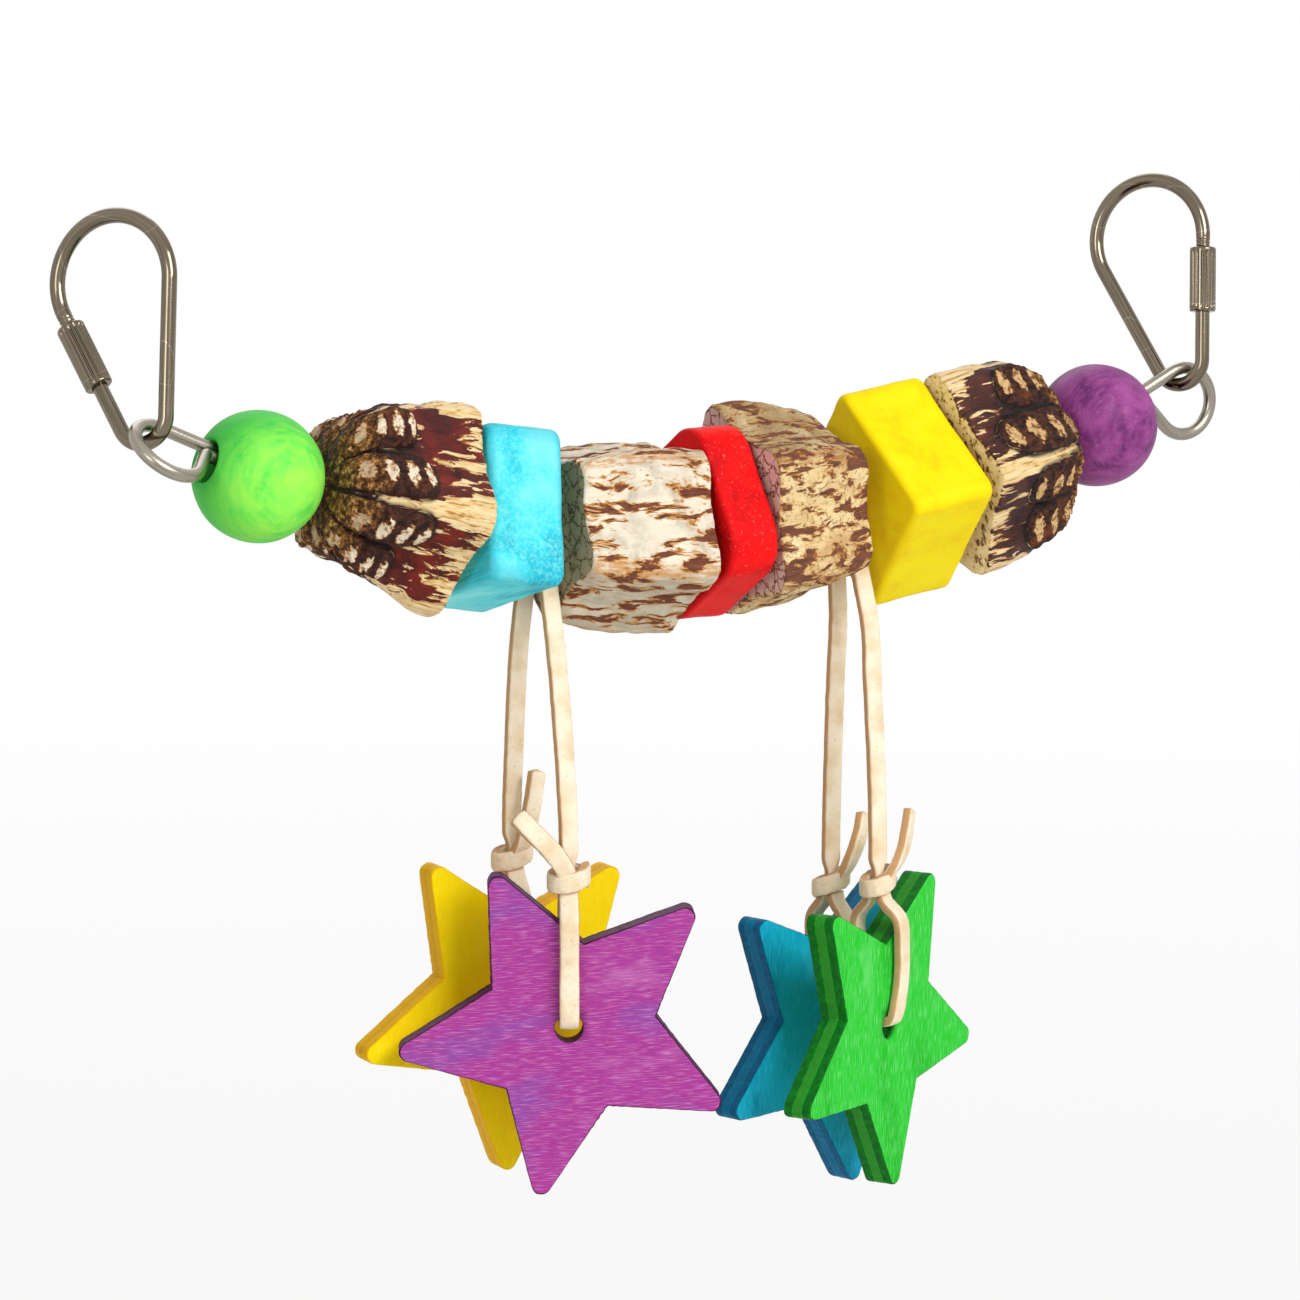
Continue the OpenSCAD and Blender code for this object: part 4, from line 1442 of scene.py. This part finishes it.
    def build(self) -> bpy.types.Object:
        """Carry the ridged outline along the core, from the bore out and back in.

        Returns:
            The core.
        """
        x, share, shift, end = collar(self.length, self.bore / 2, self.edge, faces=12, sides=118)
        u = x / self.length + 0.5
        a = np.linspace(0, 360, 360, endpoint=False)[:, None]
        outer, marks = self.outer(a, x)
        radius = share * outer + shift
        turned = np.radians(a + self.roll)
        along = -x if self.flipped else x
        grain = grid(along, -radius * np.cos(np.radians(a)), radius * np.sin(np.radians(a)))
        lift = self.above * np.clip(share, 0, 1)
        local = grid(along, -radius * np.cos(turned), radius * np.sin(turned) + lift)
        points = ARC.place(local, slope_of(self.node), ARC.hang(self.bore, self.length))
        # one face greyer: painted shade on the pale core's lower face, weathering on the mottled core's top
        aged = np.exp(-((((a + self.roll - self.weather_and_shade + 180) % 360 - 180) / 36) ** 8)) + 0 * u
        side = 0 * a
        attributes = {
            "grain": grain,
            "ridge": marks["ridge"],
            "lobe": marks["cover"],
            "scar": marks["scar"],
            "rim": marks["rim"],
            "painted_crevice_shade": marks["painted_crevice_shade"],
            "tip": 1 - ease(u, 0.1, 0.22) + side,
            "weather_and_shade": aged,
            "open_end": ease(u if self.scarred else np.maximum(u, 1 - u), 0.6, 1.0) + side,
            "cut": np.abs(end) * (1 if not self.scarred else (end > 0)) + side,
        }
        made = grid_object(f"{self.node}_husk", points, attributes, ring=True)
        return finish_piece(made, self.node, self.slot, self.finish, self.node)


# Laces and stars


@dataclass
class Star:
    """Five-pointed plywood star on its loop."""

    colour: str
    hole: tuple[float, float, float]
    yaw: float
    roll: float
    finish: bpy.types.Material
    point_r: float = 27.9
    notch_r: float = 13.2
    tip: float = 1.5
    thickness: float = 4.8
    hole_d: float = 4.4
    edge: float = 0.3
    seed: int = 1

    def outer(self, a: Array) -> Array:
        """Radius of the outline: the straight edge from point to notch, or the point's circle.

        Args:
            a: angle from a point of the star.

        Returns:
            The radius at each angle.
        """
        tenth = np.pi / 5
        fold = np.abs((a + tenth) % (2 * tenth) - tenth)
        half = np.arctan2(self.notch_r * np.sin(tenth), self.point_r - self.notch_r * np.cos(tenth))
        middle = self.point_r - self.tip / np.sin(half)
        touch = np.arctan2(self.tip * np.cos(half), middle + self.tip * np.sin(half))
        below = self.point_r * np.sin(fold) + self.notch_r * np.sin(tenth - fold)
        line = self.point_r * self.notch_r * np.sin(tenth) / below
        root = np.maximum(self.tip**2 - (middle * np.sin(fold)) ** 2, 0)
        return np.where(fold < touch, middle * np.cos(fold) + np.sqrt(root), line)

    def build(self) -> bpy.types.Object:
        """Carry the star's outline through the sheet's thickness, with eased edges and a hole.

        Returns:
            The star.
        """
        x, share, shift, end = collar(self.thickness, self.hole_d / 2, self.edge, faces=12, sides=13)
        a = np.linspace(0, 2 * np.pi, 900, endpoint=False)
        die = 0.07 * wobble(grid(20 * np.cos(a), 20 * np.sin(a), 0), 2.2, self.seed)
        radius = share * (self.outer(a - np.radians(126 + self.roll)) + die)[:, None] + shift
        depth = np.broadcast_to(x, radius.shape)
        groove = 0.1 * np.exp(-(((np.abs(x) - self.thickness / 6) / 0.14) ** 2))
        radius = radius - groove * (share == 1) * (shift > -0.01)
        own = grid(radius * np.cos(a)[:, None], radius * np.sin(a)[:, None], depth)
        wall = (np.abs(end) < 0.5) + 0 * radius
        stood = own @ turn("x", 90).T @ turn("z", self.yaw).T
        marks = {"grain": own, "depth": depth / (self.thickness / 2), "wall": wall}
        name = f"{self.colour}_star"
        made = grid_object(f"{name}_ply", stood + np.array(self.hole), marks, ring=True)
        return finish_piece(made, name, f"{self.colour}_plywood", self.finish, name)


@dataclass
class Lace:
    """One side of a suede lace: a strand from the wire to its knot, and the loop through a star."""

    colour: str
    lean: float
    route: tuple[tuple[float, float], ...]
    tail: tuple[tuple[float, float, float], ...]
    yaw: float
    finish: bpy.types.Material
    bow: float = 0.0
    width: float = 3.0
    thickness: float = 1.6
    slot_depth: float = 18.6
    knot_h: float = 5.0
    knot_play: float = 0.3
    knot_ring: tuple[float, float] = (2.35, 1.85)
    into_knot: float = 2.5
    pinch_at: tuple[float, float] = (3.6, 1.2)
    loop_drop: float = 22.5
    seed: int = 1

    def hung(self, off: Array, drop: Array) -> Array:
        """Carry distances off the wire's plane and below the wire to the swing's frame.

        The strand leans with its slot down to the slot's depth, and hangs straight below it.

        Args:
            off: distance behind the wire's plane.
            drop: distance below the wire.

        Returns:
            Points in the swing's frame.
        """
        x = np.tan(np.radians(self.lean)) * np.minimum(drop, self.slot_depth)
        return ARC.at(slope_of(f"{self.colour}_strand")) + grid(x, off, -drop)

    def strand_path(self) -> Array:
        """Route of the strand in the swing's frame, drawn on into its knot."""
        foot, depth = self.route[-1]
        off, drop = np.array(self.route + ((foot, depth + self.into_knot),)).T
        return smooth_path(self.hung(off, drop), step=0.6)

    @property
    def knot(self) -> Array:
        """Middle of the knot, below the end of the route."""
        return self.hung(*self.route[-1]) - np.array([0, 0, self.knot_play + self.knot_h / 2])

    @property
    def hole(self) -> tuple[float, float, float]:
        """Middle of the star's hole, below the knot."""
        return tuple(self.knot - np.array([0, 0, self.loop_drop]))

    def strip(
        self, name: str, path: Array, across: Array, twist: float = 0.0, pinch: float = 0.0
    ) -> bpy.types.Object:
        """Carry the flat section of the lace along a path, a little uneven in width.

        Args:
            name: object name.
            path: path points.
            across: width direction at the start.
            twist: turn of the width direction along the way, in degrees.
            pinch: share of the width lost over the last few millimetres, inside a knot.

        Returns:
            The strip, undressed.
        """
        along = unit(np.gradient(path, axis=0))
        angle = np.radians(twist) * np.linspace(0, 1, len(path))[:, None]
        across = unit(across - np.sum(across * along, -1, keepdims=True) * along)
        across = across * np.cos(angle) + np.cross(along, across) * np.sin(angle)
        wide, thick = strip_section(self.width, self.thickness, count=36)
        uneven = 1 + 0.035 * wobble(path, 5, self.seed)[:, None]
        reach = distance(path)
        start, end = self.pinch_at
        drawn_in = 1 - pinch * ease(reach, reach[-1] - start, reach[-1] - end)[:, None]
        points, run = sweep(path, across, wide * uneven * drawn_in, thick * (2 - uneven), round_end=0.18)
        grain = grid(wide, thick, run[:, None])
        rim = ease(np.abs(wide), self.width * 0.44, self.width * 0.49) + 0 * run[:, None]
        rim = np.maximum(rim, 1 - ease(np.minimum(run, run[-1] - run), 0.05, 0.2)[:, None])
        points = points + 0.05 * wobble(points, 1.4, self.seed + 7)[..., None]
        return grid_object(name, points, {"grain": grain, "rim": rim})

    def loop_path(self) -> Array:
        """Route of the loop in the star's frame: down the front, through the hole, up the back.

        Returns:
            Points to pass through.
        """
        foot = self.loop_drop - self.knot_h / 2
        front = [
            (0, -0.8, foot + 1.5), (0, -1.2, foot), (self.bow * 0.5, -3.5, foot - 3),
            (self.bow, -3.6, foot - 8), (self.bow * 0.6, -3.5, 4.5),
            (0, -3.5, 2.0), (0, -3.2, 1.2), (0, -2.4, 0.8), (0, -0.8, 0.7),
        ]
        back = [(0.4 * x, -y, z) for x, y, z in front[::-1]]
        return np.array(front + back)

    def build_strand(self) -> bpy.types.Object:
        """Returns:
            The strand.
        """
        path = self.strand_path()
        made = self.strip(f"{self.colour}_lace", path, np.array([1.0, 0, 0]), pinch=0.45)
        finish_piece(made, f"{self.colour}_strand", "suede_lace", self.finish, f"{self.colour}_lace_strand")
        return made

    def build_loop(self) -> bpy.types.Object:
        """Returns:
            The loop.
        """
        spin = turn("z", self.yaw).T
        hole = np.array(self.hole)
        path = smooth_path(self.loop_path(), step=0.45) @ spin + hole
        loop = self.strip(f"{self.colour}_lace_round_star", path, np.array([1.0, 0, 0]) @ spin)
        body = f"{self.colour}_loop"
        finish_piece(loop, body, "suede_lace", self.finish, f"{self.colour}_lace_loop")
        tail_path = smooth_path(np.array([(x, -y, z) for x, y, z in self.tail]), step=0.45)
        tail_path = tail_path @ spin + self.knot
        tail = self.strip(f"{self.colour}_lace_cut_end", tail_path, np.array([1.0, 0, 0.4]) @ spin, twist=25)
        finish_piece(tail, body, "suede_lace", self.finish)
        wrap = self.build_wrap(spin)
        finish_piece(wrap, body, "suede_lace", self.finish)
        return loop

    def build_wrap(self, spin: Array) -> bpy.types.Object:
        """Carry the lace once round itself as a tilted ring, which draws the knot tight.

        The path is an ellipse whose height rises and falls once round, and overlaps itself.

        Args:
            spin: turn of the loop's frame.

        Returns:
            The ring of the knot, undressed.
        """
        a = np.linspace(-0.3, 2 * np.pi + 0.5, 110)
        out = 1 + 0.09 * (a - a[0]) / (2 * np.pi)
        wide, deep = self.knot_ring
        rise = 0.7 * np.sin(a + 0.6 * self.seed) + 0.35 * (a - np.pi) / np.pi
        path = grid(wide * out * np.cos(a), deep * out * np.sin(a), rise) @ spin + self.knot
        return self.strip(f"{self.colour}_lace_knot", path, np.array([0.0, 0, 1]))

    def build(self) -> None:
        """Make the strand and the loop."""
        self.build_strand()
        self.build_loop()


@dataclass
class LaceSaddle:
    """The bend of a lace over the wire, between two pieces."""

    side: Hand
    slope: float
    finish: bpy.types.Material
    width: float = 3.0
    thickness: float = 1.6
    inside_r: float = 1.3
    half_turn: float = 40.0
    rim_from: tuple[float, float] = (1.3, 1.48)

    def build(self) -> bpy.types.Object:
        """Carry the flat section over the wire on an arc about it.

        Returns:
            The saddle.
        """
        a = np.radians(np.linspace(-self.half_turn, self.half_turn, 40))
        radius = self.inside_r + self.thickness / 2
        path = ARC.place(grid(0, radius * np.sin(a), radius * np.cos(a)), self.slope, 0.0)
        across = turn("y", -self.slope) @ np.array([1.0, 0, 0])
        wide, thick = strip_section(self.width, self.thickness, count=28)
        points, run = sweep(path, across, wide, thick, round_end=0.1)
        grain = grid(wide, thick, run[:, None])
        rim = ease(np.abs(wide), *self.rim_from) + 0 * run[:, None]
        name = self.side.name.lower()
        made = grid_object(f"{name}_lace_over_wire", points, {"grain": grain, "rim": rim})
        return finish_piece(made, "wire", "suede_lace", self.finish, f"{name}_lace_saddle")


# Studio


@dataclass
class Studio:
    """Pale floor, soft lamps and the camera."""

    target: tuple[float, float, float] = (86.65, -11.3, -66.65)
    azimuth: float = -32.16
    elevation: float = 7.71
    tilt: float = 0.1
    distance: float = 876.8
    lens: float = 159.4
    floor_z: float = -300.0

    def axes(self) -> tuple[Array, Array, Array]:
        """Right, up and back directions of the camera.

        Returns:
            Three directions of length one.
        """
        a, e, t = np.radians([self.azimuth, self.elevation, self.tilt])
        back = np.array([np.sin(a) * np.cos(e), -np.cos(a) * np.cos(e), np.sin(e)])
        level = np.array([np.cos(a), np.sin(a), 0])
        high = np.cross(back, level)
        return level * np.cos(t) + high * np.sin(t), high * np.cos(t) - level * np.sin(t), back

    def camera(self) -> None:
        """Make the camera at the photograph's angle, for a square picture."""
        right, up, back = self.axes()
        data = bpy.data.cameras.new("view")
        data.sensor_fit, data.sensor_width, data.lens = "AUTO", 36.0, self.lens
        data.clip_start, data.clip_end = 0.05, 20.0
        eye = bpy.data.objects.new("view", data)
        place = np.eye(4)
        place[:3, :3] = np.stack([right, up, back], -1)
        place[:3, 3] = (np.array(self.target) + self.distance * back) * MM
        eye.matrix_world = Matrix(place.tolist())
        bpy.context.scene.collection.objects.link(eye)
        bpy.context.scene.camera = eye

    def lamp(self, name: str, place: tuple[float, float, float], size: float, power: float) -> None:
        """Make one soft square lamp that faces the swing.

        Args:
            name: lamp name.
            place: where it stands from the swing's middle, in metres.
            size: width in metres.
            power: power in watts.
        """
        data = bpy.data.lights.new(name, "AREA")
        data.shape, data.size, data.energy = "SQUARE", size, power
        made = bpy.data.objects.new(name, data)
        back = unit(np.array(place))
        right = unit(np.cross([0, 0, 1.0], back))
        turned = np.eye(4)
        turned[:3, :3] = np.stack([right, np.cross(back, right), back], -1)
        turned[:3, 3] = np.array(self.target) * MM + np.array(place)
        made.matrix_world = Matrix(turned.tolist())
        bpy.context.scene.collection.objects.link(made)

    def seen(self, tree: bpy.types.NodeTree) -> bpy.types.Node:
        """Add nodes that give one where a ray comes from the camera, a reflection or a clear body.

        Args:
            tree: node tree of the world or of a material.

        Returns:
            The last of them.
        """
        path = add(tree, "LightPath")
        gloss = add(
            tree, "Math", operation="MAXIMUM",
            links={0: path.outputs["Is Camera Ray"], 1: path.outputs["Is Glossy Ray"]},
        )
        return add(
            tree, "Math", operation="MAXIMUM",
            links={0: gloss, 1: path.outputs["Is Transmission Ray"]},
        )

    def world(self) -> None:
        """White where it is seen, and a plain soft light elsewhere."""
        world = bpy.data.worlds.new("studio")
        bpy.context.scene.world = world
        world.use_nodes = True
        tree = world.node_tree
        tree.nodes.clear()
        light = add(tree, "Background", values={"Color": "#ffffff", "Strength": 0.34})
        white = add(tree, "Background", values={"Color": "#ffffff", "Strength": 1.0})
        mix = add(tree, "MixShader", links={0: self.seen(tree), 1: light, 2: white})
        add(tree, "OutputWorld", links={"Surface": mix})

    def floor(self) -> None:
        """Make a wide pale floor below the swing that fades to white and keeps its shadow."""
        u, v = np.meshgrid(np.linspace(-6000, 6000, 9), np.linspace(-6000, 6000, 9), indexing="ij")
        flat = np.stack([u + 90, v, np.full_like(u, self.floor_z)], -1).reshape(-1, 3) * MM
        cell = np.arange(64) // 8 * 9 + np.arange(64) % 8
        quads = np.stack([cell, cell + 9, cell + 10, cell + 1], -1)
        mesh = bpy.data.meshes.new("floor")
        mesh.from_pydata(flat.tolist(), [], quads.tolist())
        made = bpy.data.objects.new("floor", mesh)
        bpy.context.scene.collection.objects.link(made)
        paint = bpy.data.materials.new("matt white paper")
        paint.use_nodes = True
        tree = paint.node_tree
        tree.nodes.clear()
        matt = add(tree, "BsdfDiffuse", values={"Color": "#f4f2ee"})
        glow = add(tree, "Emission", values={"Color": "#ffffff", "Strength": 1.0})
        where = add(tree, "TexCoord")
        from_swing = add(tree, "VectorMath", operation="LENGTH", links={0: where.outputs["Object"]})
        fade = add(
            tree, "MapRange", values={"From Min": 0.5, "From Max": 1.6, "To Min": 0.8, "To Max": 1.0},
            links={"Value": from_swing},
        )
        share = add(tree, "Math", operation="MULTIPLY", links={0: self.seen(tree), 1: fade})
        mix = add(tree, "MixShader", links={0: share, 1: matt, 2: glow})
        add(tree, "OutputMaterial", links={"Surface": mix})
        mesh.materials.append(paint)

    def build(self) -> None:
        """Make the camera, lamps, world and floor."""
        bpy.context.scene.view_settings.view_transform = "Standard"
        self.camera()
        self.lamp("key", (0.18, -1.15, 0.75), size=0.7, power=14.0)
        self.lamp("fill", (-1.1, -0.7, 0.35), size=0.45, power=3.0)
        self.lamp("back", (0.4, 1.0, 0.9), size=0.9, power=3.5)
        self.world()
        self.floor()


# Build


def write_sizes() -> None:
    """Update the view layer."""
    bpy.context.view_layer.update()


def build_laces() -> None:
    """Make the four laces, their bends over the wire, and the stars that they carry."""
    suede = Suede("split suede lace, undyed").paint()
    left_lean, right_lean = slope_of("pale_pod_core") / 2, slope_of("green_strand")
    laces = [
        Lace(
            "purple",
            left_lean,
            route=(
                (-2.2, 0), (-2.4, 4), (-3.2, 9), (-4.6, 14), (-6, 19),
                (-7.4, 27), (-8.8, 37), (-9.8, 48), (-9.8, 51),
            ),
            tail=((0, 1, 0), (-1, 2.4, 2.4), (-3, 2.8, 5), (-6, 2.6, 8), (-8, 2.2, 10)),
            yaw=-29,
            finish=suede,
            seed=1,
        ),
        Lace(
            "yellow",
            left_lean,
            route=(
                (2.2, 0), (2.4, 4), (2.8, 9), (3.6, 14), (4.4, 19),
                (5.4, 27), (6.2, 37), (6.8, 47), (6.8, 50),
            ),
            tail=((0, 1, 0), (0.8, 2.6, 2.6), (1.6, 3, 6), (2.4, 3, 10), (3, 2.8, 13.5)),
            yaw=-7,
            finish=suede,
            seed=2,
        ),
        Lace(
            "green",
            right_lean,
            route=(
                (-2.2, 0), (-2.4, 4), (-3, 9), (-4, 14), (-5, 19),
                (-6, 29), (-7.2, 42), (-7.8, 54), (-7.8, 57),
            ),
            tail=((0, 1, 0), (1, 2.4, 2.4), (3, 2.8, 5), (4.6, 2.6, 8), (6, 2.2, 11)),
            yaw=25,
            finish=suede,
            bow=1.6,
            seed=3,
        ),
        Lace(
            "blue",
            right_lean,
            route=(
                (2.2, 0), (2.4, 4), (2.8, 9), (3.2, 14), (3.6, 19),
                (4.2, 29), (4.8, 42), (5.2, 56), (5.2, 59),
            ),
            tail=((0, 1, 0), (1, 2.4, 2.4), (2.4, 2.8, 5), (4, 2.6, 8), (5, 2.2, 11)),
            yaw=12,
            finish=suede,
            seed=4,
        ),
    ]
    for lace in laces:
        lace.build()
    LaceSaddle(Hand.LEFT, slope_of("purple_strand"), suede).build()
    LaceSaddle(Hand.RIGHT, slope_of("green_strand"), suede).build()

    plies = {
        "purple": DyedPly(
            "birch plywood, dyed purple", main="#a83a92", light="#cf86c4", dark="#8c4aa2",
            edge="#330f2f", core="#3e1a3a", grain_turn=3.0,
        ),
        "yellow": DyedPly(
            "birch plywood, dyed yellow", main="#fbdc00", light="#ffe628", dark="#f4d000",
            edge="#eeb400", core="#e6a800", grain_turn=80.0,
        ),
        "green": DyedPly(
            "birch plywood, dyed green", main="#2aca32", light="#80e888", dark="#14b41c",
            edge="#08641a", core="#2e8a2a", grain_turn=86.0,
        ),
        "blue": DyedPly(
            "birch plywood, dyed blue", main="#12aace", light="#34c8e4", dark="#088eb2",
            edge="#0a5680", core="#0e6a96", grain_turn=84.0,
        ),
    }
    rolls = {"purple": -10, "yellow": -4, "green": 5, "blue": 8}
    for number, lace in enumerate(laces):
        ply = plies[lace.colour].paint()
        Star(lace.colour, lace.hole, lace.yaw, rolls[lace.colour], ply, seed=number).build()


def build_metal() -> None:
    """Make both quick links and the bent wire."""
    nickel = BrightMetal("steel wire, bright nickel plate").paint()
    QuickLink(Hand.LEFT, 0.0, turned=58.0, finish=nickel).build()
    QuickLink(Hand.RIGHT, joint_of("right_link")[0][0], turned=62.0, finish=nickel).build()
    # colours far darker than bare stainless steel: a painted dark reflection
    steel = BrightMetal("stainless wire, drawn satin", "#8c8578", "#aaa396", roughness=0.28).paint()
    SwingWire(steel).build()


def build_wood() -> None:
    """Make the turned beads and the sawn blocks."""
    leaf = DyedWood(
        "turned beech, dyed green", main="#66ea54", light="#a8f856", dark="#2fbe4c",
        fibre=(0.5, 1.6, 0.5), cloud_mm=11.0, fleck=0.1, roughness=0.5, rings=(0.1, -0.98, -0.15),
    )
    plum = DyedWood(
        "turned beech, dyed purple", main="#86397c", light="#a8559a", dark="#5c2460",
        fibre=(0.5, 1.6, 0.5), cloud_mm=6.0, fleck=0.1, roughness=0.42,
    )
    Bead("green_bead", "green_wood", leaf.paint()).build()
    Bead("purple_bead", "purple_wood", plum.paint()).build()
    sea = DyedWood(
        "pine, sawn and dyed turquoise", main="#3adcea", light="#8cf2f6", dark="#0aa8c4",
        fibre=(2.0, 0.12, 2.0), cloud_mm=12.0, fleck=0.12,
    )
    cherry = DyedWood(
        "pine, sawn and dyed red", main="#ec060c", light="#fa1614", dark="#c8060e",
        fibre=(0.6, 0.6, 0.6), cloud_mm=7.0, fleck=0.45, pore="#ff8c80",
    )
    lemon = DyedWood(
        "pine, sawn and dyed yellow", main="#ffe400", light="#ffec10", dark="#f8d400",
        fibre=(0.5, 0.5, 0.5), cloud_mm=6.0, fleck=0.2, pore="#fff27a",
    )
    Block(
        "blue_block", "turquoise_wood", sea.paint(), side=24, length=13, corner=2, roll=17, edge=1.4, seed=4
    ).build()
    Block(
        "red_block", "red_wood", cherry.paint(), side=25, length=8.5, corner=6, roll=32, edge=0.9, seed=6
    ).build()
    Block(
        "yellow_block", "yellow_wood", lemon.paint(), side=25, length=15, corner=2, roll=47, seed=8
    ).build()


def build_pods() -> None:
    """Make the four pod cores."""
    left_husk = ScarredHusk("pod core, dried, waxy maroon").paint()
    right_husk = ScarredHusk(
        "pod core, dried, chocolate", maroon="#42201b", deep="#27120f", bright="#64291c",
        lobe_tone="#3a2520", lobe_light="#5e3624", scar_tone="#dcb680", amber="#7e4e26", cream_bias=-0.035,
    ).paint()
    pale = CutHusk("pod core, sawn, pale grey").paint()
    mottled = CutHusk(
        "pod core, sawn, mottled straw", pale="#e6cb94", grey="#cda872", brown="#5c3e34", amber="#a86c34",
        sawn="#e2c6ba", vein="#7a4c40", weathered_and_shaded="#a08660", bright="#f0dcb0",
        stretch=(0.24, 0.6, 0.6), edge_brown=0.035, grain_line=0.35, speck=0.9,
    ).paint()
    PodCore(
        "left_pod_core", "maroon_pod", left_husk, length=21, bore=3.6, roll=0, taper=(1, 1.04), above=-0.1,
        scarred=True, seed=3, trims=((282, 40, -2.8), (76, 30, -0.8)),
    ).build()
    PodCore(
        "pale_pod_core", "pale_pod", pale, length=21.5, bore=5, roll=-17, taper=(0.88, 1.02), above=-1.2,
        seed=12, weather_and_shade=-53,
    ).build()
    PodCore(
        "mottled_pod_core", "mottled_pod", mottled, length=17.5, bore=3.6, roll=36, taper=(1.08, 0.92),
        above=-0.1, seed=21, trims=((72, 12, 1.2),), weather_and_shade=72,
    ).build()
    PodCore(
        "right_pod_core", "maroon_pod", right_husk, length=20.5, bore=3.6, roll=5, taper=(1, 1.06),
        above=-0.1, scarred=True, flipped=True, seed=8, lobe_height=1.2, cream_from=0.86,
        lobe_ends=(0.84, 0.62, 0.66, 0.58, 0.62, 0.66, 0.6, 0.64, 0.66, 0.7),
    ).build()


def main() -> None:
    """Build the studio and every sub-assembly in order."""
    logging.basicConfig(level=logging.INFO, format="%(name)s: %(message)s")
    Studio().build()
    build_laces()
    build_metal()
    build_wood()
    build_pods()
    write_sizes()


if __name__ == "__main__":
    main()
